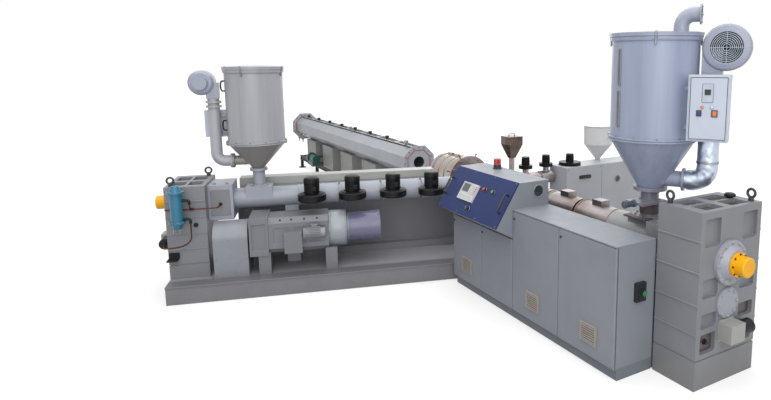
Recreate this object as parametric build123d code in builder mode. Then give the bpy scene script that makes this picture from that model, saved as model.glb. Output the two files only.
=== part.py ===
"""Co-extrusion pipe line: main extruder, side extruder, stripe extruder, die head and vacuum tank.

The main screw lies on x = 0 and feeds along +Y into the die at the origin, the side screw comes in from
-X, the stripe screw from +X, and the vacuum sizing tank follows along +Y. Lengths are in millimetres.
Each machine has a frame of its own: +X along its screw to the die, +Z up.
"""
import math
import os
from collections import namedtuple

from build123d import *

# Screw line, cuts and sheet
AXIS_HEIGHT = 1000.0
OVERRUN = 10.0
SHEET = 12.0
SIDE_SKEW_DEG = -17.1
MAIN_REACH = 3133.0
SIDE_REACH = 3290.0
BARREL_GAP = 330.0

# Base frames and the wall housing behind the side motor
BED_HEIGHT = 203.0
BED_FRONT_GAP = 100.0
BED_RAIL = 90.0
BED_CROSS_COUNT = 5
SKIRT_LIP = 14.0
MAIN_BED_GAP = 20.0
MAIN_BED_RIGHT = 520.0
SIDE_BED_FRONT = 600.0
SIDE_BED_BACK = 480.0
WALL_THICK = 260.0
WALL_TOP = 850.0
WALL_SET_BACK = 250.0
SIDE_BED_SET_BACK = 170.0
WALL_STEP_DEPTH = 110.0
WALL_STEP_RISE = 85.0

# Gearboxes
MAIN_GEAR_LENGTH = 420.0
MAIN_GEAR_HALF = 366.0
MAIN_GEAR_SHIFT = -21.0
MAIN_GEAR_HEIGHT = 1438.0
MAIN_FOOT = 240.0
SIDE_GEAR_LENGTH = 410.0
SIDE_GEAR_HALF = 350.0
SIDE_GEAR_RISE = 1027.0
SIDE_FOOT = 150.0
GROOVE_DEPTH = 8.0
GROOVE_RISE = 14.0
PARTING_SHARES = (0.836, 0.662, 0.482, 0.316)
PARTING_REACH = 7.0
PARTING_RISE = 12.0
POCKET_DEPTH = 34.0
POCKET_RIM = 60.0
POCKET_ROUND = 18.0
END_POCKET_SHARES = ((0.881, 0.155), (0.572, 0.108), (0.389, 0.083), (0.259, 0.113))
END_POCKET_AT_SHARE = 0.62
END_POCKET_WIDTH_SHARE = 0.5
TOP_POCKET_SHARES = ((-0.42, 0.29), (-0.42, 0.71), (0.42, 0.29), (0.42, 0.71))
TOP_POCKET_WIDTH_SHARE = 0.62
COVER_RADIUS = 180.0
COVER_THICK = 30.0
DOME_RADIUS = 145.0
DOME_FRONT_RADIUS = 112.0
DOME_LENGTH = 45.0
LOW_COVER_DROP = 333.0
LOW_COVER_RADIUS = 124.0
LOW_COVER_THICK = 16.0
SIDE_COVER_RADIUS = 125.0
CAP_RADIUS = 98.0
CAP_THICK = 24.0
CAP_NOSE_RADIUS = 80.0
CAP_NOSE_LENGTH = 84.0
CAP_EDGE = 8.0
SIDE_CAP_RADIUS = 76.0
SIDE_CAP_LENGTH = 130.0
EYE_RADIUS = 34.0
EYE_BAR = 11.0
EYE_COLLAR = 22.0
EYE_SHANK = 30.0
PUMP_DROP = 555.0
SIDE_PUMP_DROP = 430.0
PUMP_WIDTH = 170.0
PUMP_RISE = 150.0
PUMP_DEPTH = 125.0
PUMP_MOTOR_RADIUS = 60.0
PUMP_MOTOR_LENGTH = 135.0
PUMP_LUG = 14.0

# Oil cooler
COOLER_AT = 145.0
COOLER_RADIUS = 62.0
COOLER_LENGTH = 470.0
COOLER_DROP = 200.0
COOLER_FLANGE_RADIUS = 84.0
COOLER_FLANGE_THICK = 22.0
COOLER_CLEAR = 50.0
COOLER_DOME_SHARE = 0.6
COOLER_BRACKET_SHARES = (0.3, 0.7)

# Lantern between gearbox and barrel, feed housing, barrel and heater covers
LANTERN_LENGTH = 262.0
LANTERN_HALF = 200.0
LANTERN_WINDOW = 150.0
LANTERN_SINK = 50.0
MAIN_THROAT_AT = 413.0
SIDE_THROAT_AT = 534.0
MAIN_FEED_LENGTH = 800.0
SIDE_FEED_LENGTH = 960.0
MAIN_FEED_RADIUS = 165.0
SIDE_FEED_RADIUS = 116.0
BARREL_RADIUS = 100.0
MAIN_SHROUD_RADIUS = 165.0
SIDE_SHROUD_RADIUS = 122.0
SHROUD_GAP = 26.0
SHROUD_COUNT = 4
SHROUD_BEAD = 5.0
SHROUD_LIP = 16.0
NOSE_RING = 36.0
TERMINAL_LENGTH = 130.0
TERMINAL_WIDTH = 110.0
TERMINAL_RISE = 48.0
MAIN_NECK_RADIUS = 80.0
MAIN_NECK_FLANGE = 148.0
MAIN_CONE_CLEAR = 26.0
SIDE_NECK_RADIUS = 68.0
SIDE_NECK_FLANGE = 98.0
SIDE_NECK_RISE = 234.0
NECK_FLANGE_THICK = 30.0
GATE_LENGTH = 300.0
GATE_WIDTH = 210.0
GATE_THICK = 26.0
GATE_RISE_SHARE = 0.45
SADDLE_LENGTH = 290.0
SADDLE_WIDTH = 230.0
SADDLE_THICK = 26.0
STAND_WIDTH = 150.0
STAND_FRONT = -45.0
STAND_BACK = 180.0

# Drive
MAIN_MOTOR_AT = 255.0
SIDE_MOTOR_AT = 440.0
MOTOR_LENGTH = 856.0
MOTOR_HALF = 200.0
MOTOR_CHAMFER = 55.0
MOTOR_BELL = 200.0
MOTOR_BELL_HALF = 214.0
MOTOR_BELL_RELIEF = 26.0
MOTOR_OFFSET = -265.0
MAIN_MOTOR_HEIGHT = 560.0
SIDE_MOTOR_HEIGHT = 640.0
MOTOR_PANEL_SINK = 8.0
MOTOR_PANEL_SHARES = ((0.08, 0.36), (0.42, 0.62), (0.68, 0.94))
PEDESTAL_WIDTH = 130.0
PEDESTAL_DEPTH = 380.0
PEDESTAL_SHARES = (0.10, 0.95)
PEDESTAL_CAP = 18.0
GUARD_GAP = 60.0
GUARD_CLEAR = 20.0
GUARD_HALF = 185.0
GUARD_TOP = 806.0
DRUM_LENGTH = 204.0
DRUM_RADIUS = 205.0
DRUM_EDGE = 14.0
SLEEVE_LENGTH = 385.0
SLEEVE_BACK_RADIUS = 162.0
SLEEVE_FRONT_RADIUS = 172.0
SLEEVE_WALL = 10.0
SLEEVE_HEM = 18.0
SLEEVE_HEM_REACH = 5.0
TERMINAL_BOX_LENGTH = 194.0
TERMINAL_BOX_RISE = 240.0
TERMINAL_BOX_DEPTH = 60.0
TERMINAL_BOX_AT = 370.0
TERMINAL_BOX_DROP = 75.0
FAN_MOTOR_AT = 580.0
FAN_MOTOR_RADIUS = 64.0
FAN_MOTOR_LENGTH = 240.0
FAN_MOTOR_COWL = 70.0
FAN_MOTOR_RELIEF = 8.0
FAN_MOTOR_LIFT = 30.0

# Barrel blowers and cable trunking
BLOWER_SHARES = (0.0825, 0.3115, 0.5475, 0.778)
BLOWER_OFFSET = 290.0
BLOWER_DROP = 15.0
BLOWER_SCROLL_RADIUS = 158.0
BLOWER_SCROLL_RISE = 82.0
BLOWER_SCROLL_EDGE = 10.0
BLOWER_MOTOR_RADIUS = 80.0
BLOWER_MOTOR_RISE = 185.0
BLOWER_MOTOR_EDGE = 16.0
BLOWER_NECK_WIDTH = 110.0
TRUNKING_START = 290.0
TRUNKING_FRONT_GAP = 330.0
TRUNKING_TOP = 1190.0
TRUNKING_RISE = 150.0
TRUNKING_DEPTH = 170.0
TRUNKING_OFFSET = 286.0
TRUNKING_POST_SHARES = (0.1, 0.5, 0.9)
TRUNKING_LID = 6.0

# Hopper dryers
MAIN_DRYER_RADIUS = 366.0
MAIN_CONE_RISE = 440.0
MAIN_DRYER_RISE = 880.0
MAIN_DRYER_TURN_DEG = -58.0
MAIN_FAN_RADIUS = 190.0
MAIN_FAN_DROP = 112.0
MAIN_FAN_SHIFT = 107.0
MAIN_PIPE_AT = 470.0
MAIN_PIPE_RADIUS = 80.0
MAIN_STUB_RISE = 80.0
MAIN_BOX_WIDTH = 312.0
MAIN_BOX_RISE = 527.0
MAIN_BOX_START = 330.0
MAIN_BOX_BACK = 222.0
MAIN_BOX_DROP = 327.0
SIDE_DRYER_RADIUS = 314.0
SIDE_CONE_RISE = 304.0
SIDE_DRYER_RISE = 843.0
SIDE_FAN_RADIUS = 136.0
SIDE_FAN_DROP = 162.0
SIDE_FAN_SHIFT = 108.0
SIDE_PIPE_AT = 440.0
SIDE_PIPE_RADIUS = 63.0
SIDE_STUB_RISE = 95.0
SIDE_BOX_WIDTH = 230.0
SIDE_BOX_RISE = 305.0
SIDE_BOX_START = 330.0
SIDE_BOX_BACK = 80.0
SIDE_BOX_DROP = 478.0
DRYER_BOX_DEPTH = 150.0
DRYER_WALL = 8.0
DRYER_RING_WIDTH = 20.0
DRYER_RING_RISE = 16.0
DRYER_JOINT = 5.0
DRYER_JOINT_DEPTH = 9.0
DRYER_LID_EDGE = 16.0
DRYER_LID_CROWN = 26.0
DRYER_LID_CROWN_SHARE = 0.5
DRYER_STUB_SHARE = 0.88
DRYER_STUB_REACH_SHARE = 0.62
DRYER_MOUTH_INSET = 34.0
DRYER_COLLAR = 20.0
DRYER_COLLAR_THICK = 22.0
DRYER_COLLAR_SHARES = (0.86, 0.93)
DRYER_BEND_SHARE = 1.5
DRYER_BRACKET = 36.0
DRYER_BRACKET_REACH = 40.0
BOX_DOOR_MARGIN = 12.0
BOX_DOOR_RISE = 8.0
DRYER_BRACKET_SHARES = (0.15, 0.75)
FAN_DEPTH = 190.0
FAN_BACK = 90.0
FAN_EDGE = 26.0
FAN_EYE_SHARE = 0.76
FAN_EYE_SINK = 22.0
FAN_MOTOR_SHARE = 0.55
FAN_MOTOR_REACH = 70.0
FAN_OUTLET_DROP = 40.0
GUARD_RING_COUNT = 4
GUARD_RING_WIDTH = 7.0
GUARD_RING_DEPTH = 6.0
EXHAUST_RADIUS = 63.0
EXHAUST_WALL = 5.0
EXHAUST_AT = 205.0
EXHAUST_RISE = 165.0
EXHAUST_REACH = 160.0
EXHAUST_BEND = 100.0
EXHAUST_FLANGE = 22.0
EXHAUST_FLANGE_THICK = 10.0

# Control cabinet and console beside the main extruder
CABINET_BACK = 340.0
CABINET_DEPTH = 440.0
CABINET_GAP = 17.0
CABINET_LENGTH = 1418.0
CONSOLE_LENGTH = 1183.0
CABINET_HEIGHT = 1131.0
DOOR_THICK = 22.0
DOOR_GAP = 6.0
DOOR_SEAM = 12.0
HINGE_PIN = 5.0
HINGE_CLEAR = 0.3
HINGE_DEPTH = 20.0
HINGE_TAB = 6.0
HINGE_TAB_LENGTH = 60.0
PLINTH_HEIGHT = 100.0
PLINTH_SET_BACK = 14.0
CABINET_FRAME = 30.0
CABINET_MULLION = 44.0
FILTER_WIDTH = 196.0
FILTER_RISE = 168.0
FILTER_REACH = 14.0
FILTER_RIM = 20.0
FILTER_AT = 306.0
FILTER_SLOT_DEPTH = 9.0
FILTER_PLACE_SHARES = (0.42, 0.52, 0.48)
FILTER_SLOT_COUNT = 7
FILTER_SLOT_SHARE = 0.5
CONSOLE_DOOR_TOP = 826.0
HEAD_OVERHANG = 190.0
HEAD_NOSE_HEIGHT = 951.0
HEAD_SET_BACK = 85.0
HEAD_TOP = 1383.0
PANEL_MARGIN = 3.0
PANEL_THICK = 16.0
DISPLAY_LENGTH = 296.0
DISPLAY_RISE = 200.0
DISPLAY_THICK = 22.0
DISPLAY_AT_SHARE = -0.11
SCREEN_LENGTH = 150.0
SCREEN_RISE = 92.0
SCREEN_RIM = 16.0
SCREEN_SINK = 6.0
GRIP_LENGTH = 195.0
GRIP_REACH = 46.0
GRIP_BAR = 9.0
GRIP_BEND = 20.0
GRIP_SHARES = (-0.46, 0.46)
BUTTON_RADIUS = 20.0
BUTTON_COLLAR = 26.0
BUTTON_REACH = 22.0
BUTTON_COLLAR_REACH = 8.0
BUTTON_SHARES = ((0.105, 0.155), (0.24, 0.155), (0.0, -0.33))
BEACON_RADIUS = 33.0
BEACON_HEIGHT = 96.0
BEACON_AT = 392.0
BEACON_SET_BACK = 98.0
BEACON_STEP = 4.0
BEACON_BASE_SHARE = 0.45
SWITCH_WIDTH = 106.0
SWITCH_RISE = 158.0
SWITCH_REACH = 34.0
SWITCH_AT = 720.0
SWITCH_SET_BACK = 182.0
SWITCH_PLATE_SHARE = 0.7
SWITCH_PLATE_REACH = 8.0
SWITCH_KNOB = 26.0
SWITCH_KNOB_REACH = 24.0

# Die head and its stand
DIE_ADAPTER_RADIUS = 185.0
DIE_PLATE = 50.0
DIE_THROAT_RADIUS = 120.0
DIE_BLOCK_HALF = 235.0
DIE_BLOCK_RADIUS = 235.0
DIE_BODY_START = 440.0
DIE_BODY_RADIUS = 255.0
DIE_RIM_RADIUS = 305.0
DIE_RIM_THICK = 80.0
DIE_BODY_END = 1040.0
DIE_FRONT_RADIUS = 270.0
DIE_FRONT_THICK = 60.0
DIE_NOZZLE_RADIUS = 150.0
DIE_NOZZLE_LENGTH = 150.0
DIE_BORE_RADIUS = 60.0
DIE_BORE_DEPTH = 120.0
DIE_STAND_WIDTH = 380.0
DIE_STAND_LENGTH = 300.0
DIE_COLUMN_SHARE = 0.66
DIE_NECK_RADIUS = 165.0
DIE_FOOT_THICK = 30.0

# Vacuum tank
TANK_START = 2006.0
TANK_LENGTH = 6254.0
TANK_FLATS = 450.0
TANK_SIDES = 8
TANK_WALL = 10.0
TANK_END_THICK = 26.0
TANK_END_RIM = 35.0
TANK_FAR_RIM = 85.0
TANK_PORT_RADIUS = 92.0
TANK_LID_COUNT = 8
TANK_LID_WIDTH = 168.0
TANK_LID_THICK = 18.0
TANK_LID_EDGE = 60.0
TANK_LID_RIM = 22.0
TANK_LID_SINK = 6.0
TANK_BOX_COUNT = 5
TANK_BOX_FIRST = 504.0
TANK_BOX_PITCH = 1180.0
TANK_BOX_LENGTH = 660.0
TANK_BOX_WIDTH = 360.0
TANK_BOX_PANEL = 50.0
TANK_BOX_SINK = 6.0
TANK_RAIL_TOP = 300.0
TANK_RAIL_RISE = 100.0
TANK_RAIL_WIDTH = 60.0
TANK_RAIL_SPREAD = 150.0
TANK_LEG_COUNT = 6
TANK_LEG = 60.0
TANK_FOOT = 140.0
TANK_FOOT_THICK = 16.0
TANK_PUMP_AT = 4480.0
TANK_PUMP_OUT = 300.0
TANK_PUMP_RADIUS = 82.0
TANK_PUMP_LENGTH = 300.0
TANK_PUMP_HEAD = 110.0
TANK_PUMP_HEAD_LENGTH = 90.0
TANK_PUMP_LIFT = 130.0
TANK_PUMP_PLATE = 16.0
TANK_PUMP_PIPE = 26.0
TANK_PUMP_BEND = 60.0

# Stripe extruder
STRIPE_NEAR = 1070.0
STRIPE_LENGTH = 1407.0
STRIPE_FRONT = -304.0
STRIPE_DEPTH = 364.0
STRIPE_HEIGHT = 1150.0
STRIPE_DOOR_SEAM = 625.0
STRIPE_SEAM_WIDTH = 8.0
STRIPE_SEAM_DEPTH = 6.0
STRIPE_BARREL_RADIUS = 62.0
STRIPE_BAND_RADIUS = 86.0
STRIPE_BAND_COUNT = 3
STRIPE_BAND_GAP_SHARE = 0.08
STRIPE_BLOWER_SHARES = (0.38, 0.84)
STRIPE_BLOWER_RADIUS = 92.0
STRIPE_BLOWER_RISE = 46.0
STRIPE_BLOWER_LIFT = 60.0
STRIPE_MOTOR_RADIUS = 52.0
STRIPE_MOTOR_RISE = 110.0
STRIPE_FAN_AT = 200.0
STRIPE_FAN_RADIUS = 150.0
STRIPE_NECK_RADIUS = 40.0
STRIPE_HOPPER_AT = 820.0
STRIPE_HOPPER_RADIUS = 202.0
STRIPE_HOPPER_NECK = 36.0
STRIPE_HOPPER_SEAT = 24.0
STRIPE_CONE_RISE = 210.0
STRIPE_HOPPER_RISE = 256.0
STRIPE_LID_CROWN = 24.0
STRIPE_LID_EDGE = 9.0
STEEL_HOPPER_AT = 55.0
STEEL_HOPPER_WIDTH = 205.0
STEEL_HOPPER_MOUTH = 72.0
STEEL_NECK_RISE = 310.0
STEEL_CONE_RISE = 180.0
STEEL_HOPPER_RISE = 100.0
STEEL_HOPPER_WALL = 6.0
STEEL_LID_GRIP = 90.0
STEEL_GRIP_REACH = 30.0
STEEL_GRIP_BAR = 5.0
STEEL_GRIP_BEND = 12.0

# Machine frames and the places that follow from the sizes
SKEW = math.radians(SIDE_SKEW_DEG)
MAIN = Plane(origin=(0, 0, 0), x_dir=(0, 1, 0), z_dir=(0, 0, 1))
SIDE = Plane(origin=(0, 0, 0), x_dir=(math.cos(SKEW), math.sin(SKEW), 0), z_dir=(0, 0, 1))
STRIPE = Plane(origin=(0, 0, 0), x_dir=(-1, 0, 0), z_dir=(0, 0, 1))
MAIN_GEAR_END = -MAIN_REACH
MAIN_GEAR_START = MAIN_GEAR_END - MAIN_GEAR_LENGTH
SIDE_GEAR_END = -SIDE_REACH
SIDE_GEAR_START = SIDE_GEAR_END - SIDE_GEAR_LENGTH
SIDE_GEAR_TOP = BED_HEIGHT + SIDE_GEAR_RISE
BARREL_FRONT = -BARREL_GAP
MAIN_CONE_BOTTOM = MAIN_GEAR_HEIGHT + MAIN_CONE_CLEAR
SIDE_CONE_BOTTOM = AXIS_HEIGHT + SIDE_FEED_RADIUS + SIDE_NECK_RISE

MAIN_FEED_END = MAIN_GEAR_END + MAIN_FEED_LENGTH
SIDE_FEED_END = SIDE_GEAR_END + SIDE_FEED_LENGTH
MAIN_THROAT = MAIN_GEAR_END + MAIN_THROAT_AT
SIDE_THROAT = SIDE_GEAR_END + SIDE_THROAT_AT
MAIN_MOTOR_START = MAIN_GEAR_END + MAIN_MOTOR_AT
SIDE_MOTOR_START = SIDE_GEAR_END + SIDE_MOTOR_AT
SIDE_BED_END = BARREL_FRONT - SIDE_BED_SET_BACK
CABINET_FACE = CABINET_BACK + CABINET_DEPTH
CABINET_NEAR = MAIN_GEAR_END + CABINET_GAP
CABINET_SPLIT = CABINET_NEAR + CABINET_LENGTH
CABINET_FAR = CABINET_SPLIT + CONSOLE_LENGTH
CABINET_DOOR_TOP = CABINET_HEIGHT - SHEET - DOOR_GAP
CABINET_SEAM = (CABINET_NEAR + CABINET_SPLIT) / 2
CONSOLE_SEAM = (CABINET_SPLIT + CABINET_FAR) / 2
SHELL_FACE = CABINET_FACE - DOOR_THICK - DOOR_GAP
HINGE_LINE = CABINET_FACE - DOOR_THICK / 2
HEAD_BOTTOM = CONSOLE_DOOR_TOP + SHEET
HEAD_NOSE_FACE = CABINET_FACE + HEAD_OVERHANG
HEAD_TOP_FACE = CABINET_FACE - HEAD_SET_BACK
TANK_END = TANK_START + TANK_LENGTH
TANK_BOTTOM = AXIS_HEIGHT - TANK_FLATS / 2
TANK_LID_PITCH = TANK_LENGTH / TANK_LID_COUNT
STRIPE_FAR = STRIPE_NEAR + STRIPE_LENGTH
STRIPE_BACK = STRIPE_FRONT + STRIPE_DEPTH
STRIPE_SEAT = STRIPE_HEIGHT + STRIPE_HOPPER_SEAT
STRIPE_HOPPER_X = STRIPE_NEAR + STRIPE_HOPPER_AT
STRIPE_HOPPER_TOP = STRIPE_SEAT + STRIPE_CONE_RISE + STRIPE_HOPPER_RISE
STEEL_HOPPER_X = BARREL_GAP + STEEL_HOPPER_AT
STEEL_BOTTOM = AXIS_HEIGHT + STEEL_NECK_RISE
STEEL_TOP = STEEL_BOTTOM + STEEL_CONE_RISE + STEEL_HOPPER_RISE

os.makedirs("parts", exist_ok=True)


def block(frame, low, high, mode=Mode.ADD):
    """A square block between two corners of a machine's own frame."""
    size = [b - a for a, b in zip(low, high)]
    middle = [(a + b) / 2 for a, b in zip(low, high)]
    with Locations(frame.location * Location(tuple(middle))):
        Box(*size, mode=mode)


def within(frame, plane):
    """A plane of a machine's own frame, placed in the line."""
    return Plane(frame.location * plane.location)


def line_in(frame, point, direction):
    """An axis through a point of a machine's own frame."""
    start = frame.from_local_coords(Vector(*point))
    ahead = frame.from_local_coords(Vector(*point) + Vector(*direction))
    return Axis(start, ahead - start)


def turned(frame, foot, along, profile, mode=Mode.ADD):
    """A turned piece: (distance, radius) points of a closed half section, spun about a line."""
    spin = line_in(frame, foot, along)
    upright = abs(spin.direction.Z) > math.cos(math.pi / 4)
    across = frame.x_dir if upright else Vector(0, 0, 1)
    with BuildSketch(Plane(spin.position, x_dir=spin.direction, z_dir=across)) as section:
        with BuildLine():
            Polyline(*profile, close=True)
        make_face()
    revolve(section.sketch, axis=spin, mode=mode)


def rod(frame, foot, along, radius, length, mode=Mode.ADD):
    """A plain round bar that starts at a foot and runs along a direction."""
    turned(frame, foot, along, [(0, 0), (0, radius), (length, radius), (length, 0)], mode)


def bent_pipe(frame, points, bend, radius, wall=0.0):
    """A round pipe along straight runs joined by tangent arcs, solid where no wall is given."""
    with BuildLine() as route:
        FilletPolyline(*[frame.from_local_coords(Vector(*p)) for p in points], radius=bend)
    with BuildSketch(Plane(origin=route.line @ 0, z_dir=route.line % 0)) as ring:
        Circle(radius)
        if wall:
            Circle(radius - wall, mode=Mode.SUBTRACT)
    sweep(ring.sketch, path=route.line)


def pocket(plane, width, height, depth):
    """A cast pocket with round corners, sunk into a face of a casting."""
    with BuildSketch(plane) as mouth:
        RectangleRounded(width, height, POCKET_ROUND)
    extrude(mouth.sketch, amount=-depth, mode=Mode.SUBTRACT)


def finish(piece, name):
    """Names a finished piece and writes it out."""
    piece.part.label = name
    export_step(piece.part, f"parts/{name}.step")


def base_frame(frame, start, end, right, left):
    """A welded base: side rails and cross members under a deck, with a lip along the deck's edge."""
    under = BED_HEIGHT - SHEET
    block(frame, (start, right, 0), (end, right + BED_RAIL, under))
    block(frame, (start, left - BED_RAIL, 0), (end, left, under))
    pitch = (end - start - BED_RAIL) / (BED_CROSS_COUNT - 1)
    for index in range(BED_CROSS_COUNT):
        here = start + index * pitch
        block(frame, (here, right, 0), (here + BED_RAIL, left, under))
    block(frame, (start, right - SKIRT_LIP, under), (end, left + SKIRT_LIP, BED_HEIGHT))


# Main base frame
with BuildPart() as main_bed:
    base_frame(MAIN, MAIN_GEAR_END + MAIN_BED_GAP, BARREL_FRONT + BED_FRONT_GAP, -MAIN_BED_RIGHT,
               CABINET_BACK - SKIRT_LIP)
finish(main_bed, "main_bed")

# Side base frame
with BuildPart() as side_bed:
    base_frame(SIDE, SIDE_GEAR_START, SIDE_BED_END, -SIDE_BED_FRONT, SIDE_BED_BACK)
finish(side_bed, "side_bed")

# Closed wall housing that stands on the side base behind the motor, with a low step along its foot
with BuildPart() as side_wall:
    wall_front = SIDE_BED_BACK - WALL_THICK
    block(SIDE, (SIDE_GEAR_END + WALL_SET_BACK, wall_front, BED_HEIGHT),
          (SIDE_BED_END, SIDE_BED_BACK, WALL_TOP))
    block(SIDE, (SIDE_FEED_END, wall_front - WALL_STEP_DEPTH, BED_HEIGHT),
          (SIDE_BED_END, wall_front, BED_HEIGHT + WALL_STEP_RISE))
finish(side_wall, "side_wall")


def gear_housing(frame, start, end, shift, half, base, top, foot):
    """A cast gearbox: foot and body parted by a groove, split flanges on its sides, pockets between ribs."""
    low = shift - half
    high = shift + half
    rise = top - base
    depth = end - start
    body = base + foot + GROOVE_RISE
    block(frame, (start, low, base), (end, high, base + foot))
    block(frame, (start + GROOVE_DEPTH, low + GROOVE_DEPTH, base + foot), (end, high - GROOVE_DEPTH, body))
    block(frame, (start, low, body), (end, high, top))
    for share in PARTING_SHARES:
        level = base + share * rise
        block(frame, (start, low - PARTING_REACH, level), (end, high + PARTING_REACH, level + PARTING_RISE))
    for up, height in END_POCKET_SHARES:
        for side in (-1, 1):
            face = Plane(origin=(start, shift + side * END_POCKET_AT_SHARE * half, base + up * rise),
                         x_dir=(0, -1, 0), z_dir=(-1, 0, 0))
            pocket(within(frame, face), END_POCKET_WIDTH_SHARE * half, height * rise, POCKET_DEPTH)
    for across, along in TOP_POCKET_SHARES:
        face = Plane(origin=(start + along * depth, shift + across * half, top), x_dir=(1, 0, 0),
                     z_dir=(0, 0, 1))
        pocket(within(frame, face), depth / 2 - POCKET_RIM, TOP_POCKET_WIDTH_SHARE * half, POCKET_DEPTH)


# Main gearbox
with BuildPart() as main_gearbox:
    gear_housing(MAIN, MAIN_GEAR_START, MAIN_GEAR_END, MAIN_GEAR_SHIFT, MAIN_GEAR_HALF, 0, MAIN_GEAR_HEIGHT,
                 MAIN_FOOT)
finish(main_gearbox, "main_gearbox")

# Side gearbox
with BuildPart() as side_gearbox:
    gear_housing(SIDE, SIDE_GEAR_START, SIDE_GEAR_END, 0, SIDE_GEAR_HALF, BED_HEIGHT, SIDE_GEAR_TOP,
                 SIDE_FOOT)
finish(side_gearbox, "side_gearbox")

# End covers: the main thrust cover with its coned front, the low cover under it, the side thrust cover
with BuildPart() as end_covers:
    turned(MAIN, (MAIN_GEAR_START, 0, AXIS_HEIGHT), (-1, 0, 0),
           [(0, 0), (0, COVER_RADIUS), (COVER_THICK, COVER_RADIUS), (COVER_THICK, DOME_RADIUS),
            (COVER_THICK + DOME_LENGTH, DOME_FRONT_RADIUS), (COVER_THICK + DOME_LENGTH, 0)])
    rod(MAIN, (MAIN_GEAR_START, 0, AXIS_HEIGHT - LOW_COVER_DROP), (-1, 0, 0), LOW_COVER_RADIUS,
        LOW_COVER_THICK)
    rod(SIDE, (SIDE_GEAR_START, 0, AXIS_HEIGHT), (-1, 0, 0), SIDE_COVER_RADIUS, COVER_THICK)
finish(end_covers, "end_covers")

# Guard caps over both screw ends: a flanged nose on the main cover, a plain drum on the side one
with BuildPart() as shaft_caps:
    nose_end = CAP_THICK + CAP_NOSE_LENGTH
    turned(MAIN, (MAIN_GEAR_START - COVER_THICK - DOME_LENGTH, 0, AXIS_HEIGHT), (-1, 0, 0),
           [(0, 0), (0, CAP_RADIUS), (CAP_THICK, CAP_RADIUS), (CAP_THICK, CAP_NOSE_RADIUS),
            (nose_end - CAP_EDGE, CAP_NOSE_RADIUS), (nose_end, CAP_NOSE_RADIUS - CAP_EDGE), (nose_end, 0)])
    turned(SIDE, (SIDE_GEAR_START - COVER_THICK, 0, AXIS_HEIGHT), (-1, 0, 0),
           [(0, 0), (0, SIDE_CAP_RADIUS), (SIDE_CAP_LENGTH - CAP_EDGE, SIDE_CAP_RADIUS),
            (SIDE_CAP_LENGTH, SIDE_CAP_RADIUS - CAP_EDGE), (SIDE_CAP_LENGTH, 0)])
finish(shaft_caps, "shaft_caps")


def lifting_eye(frame, x, y, z):
    """A forged lifting eye: a ring on a short collar."""
    rod(frame, (x, y, z), (0, 0, 1), EYE_COLLAR, EYE_SHANK)
    ring = Plane(origin=(x, y, z + EYE_SHANK + EYE_RADIUS), x_dir=(1, 0, 0), z_dir=(0, 1, 0))
    with Locations(within(frame, ring).location):
        Torus(EYE_RADIUS, EYE_BAR)


# Lifting eyes, two on opposite corners of each gearbox
with BuildPart() as lifting_eyes:
    lifting_eye(MAIN, MAIN_GEAR_START + POCKET_RIM, MAIN_GEAR_SHIFT - MAIN_GEAR_HALF + POCKET_RIM,
                MAIN_GEAR_HEIGHT)
    lifting_eye(MAIN, MAIN_GEAR_END - POCKET_RIM, MAIN_GEAR_SHIFT + MAIN_GEAR_HALF - POCKET_RIM,
                MAIN_GEAR_HEIGHT)
    lifting_eye(SIDE, SIDE_GEAR_START + POCKET_RIM, POCKET_RIM - SIDE_GEAR_HALF, SIDE_GEAR_TOP)
    lifting_eye(SIDE, SIDE_GEAR_END - POCKET_RIM, SIDE_GEAR_HALF - POCKET_RIM, SIDE_GEAR_TOP)
finish(lifting_eyes, "lifting_eyes")

PUMPS = ((MAIN, MAIN_GEAR_START, AXIS_HEIGHT - PUMP_DROP), (SIDE, SIDE_GEAR_START,
                                                            AXIS_HEIGHT - SIDE_PUMP_DROP))

# Oil pump blocks on the gearbox ends, each on a lug plate
with BuildPart() as oil_pumps:
    for frame, start, height in PUMPS:
        block(frame, (start - PUMP_DEPTH, -PUMP_WIDTH / 2, height - PUMP_RISE / 2),
              (start, PUMP_WIDTH / 2, height + PUMP_RISE / 2))
        block(frame, (start - PUMP_LUG, -PUMP_WIDTH / 2, height - PUMP_RISE / 2 - PUMP_LUG),
              (start, PUMP_WIDTH / 2, height + PUMP_RISE / 2 + PUMP_LUG))
finish(oil_pumps, "oil_pumps")

# Motors of the oil pumps, lying across beside their blocks
with BuildPart() as pump_motors:
    for frame, start, height in PUMPS:
        rod(frame, (start - PUMP_DEPTH / 2, -PUMP_WIDTH / 2, height), (0, -1, 0), PUMP_MOTOR_RADIUS,
            PUMP_MOTOR_LENGTH)
finish(pump_motors, "pump_motors")

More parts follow.
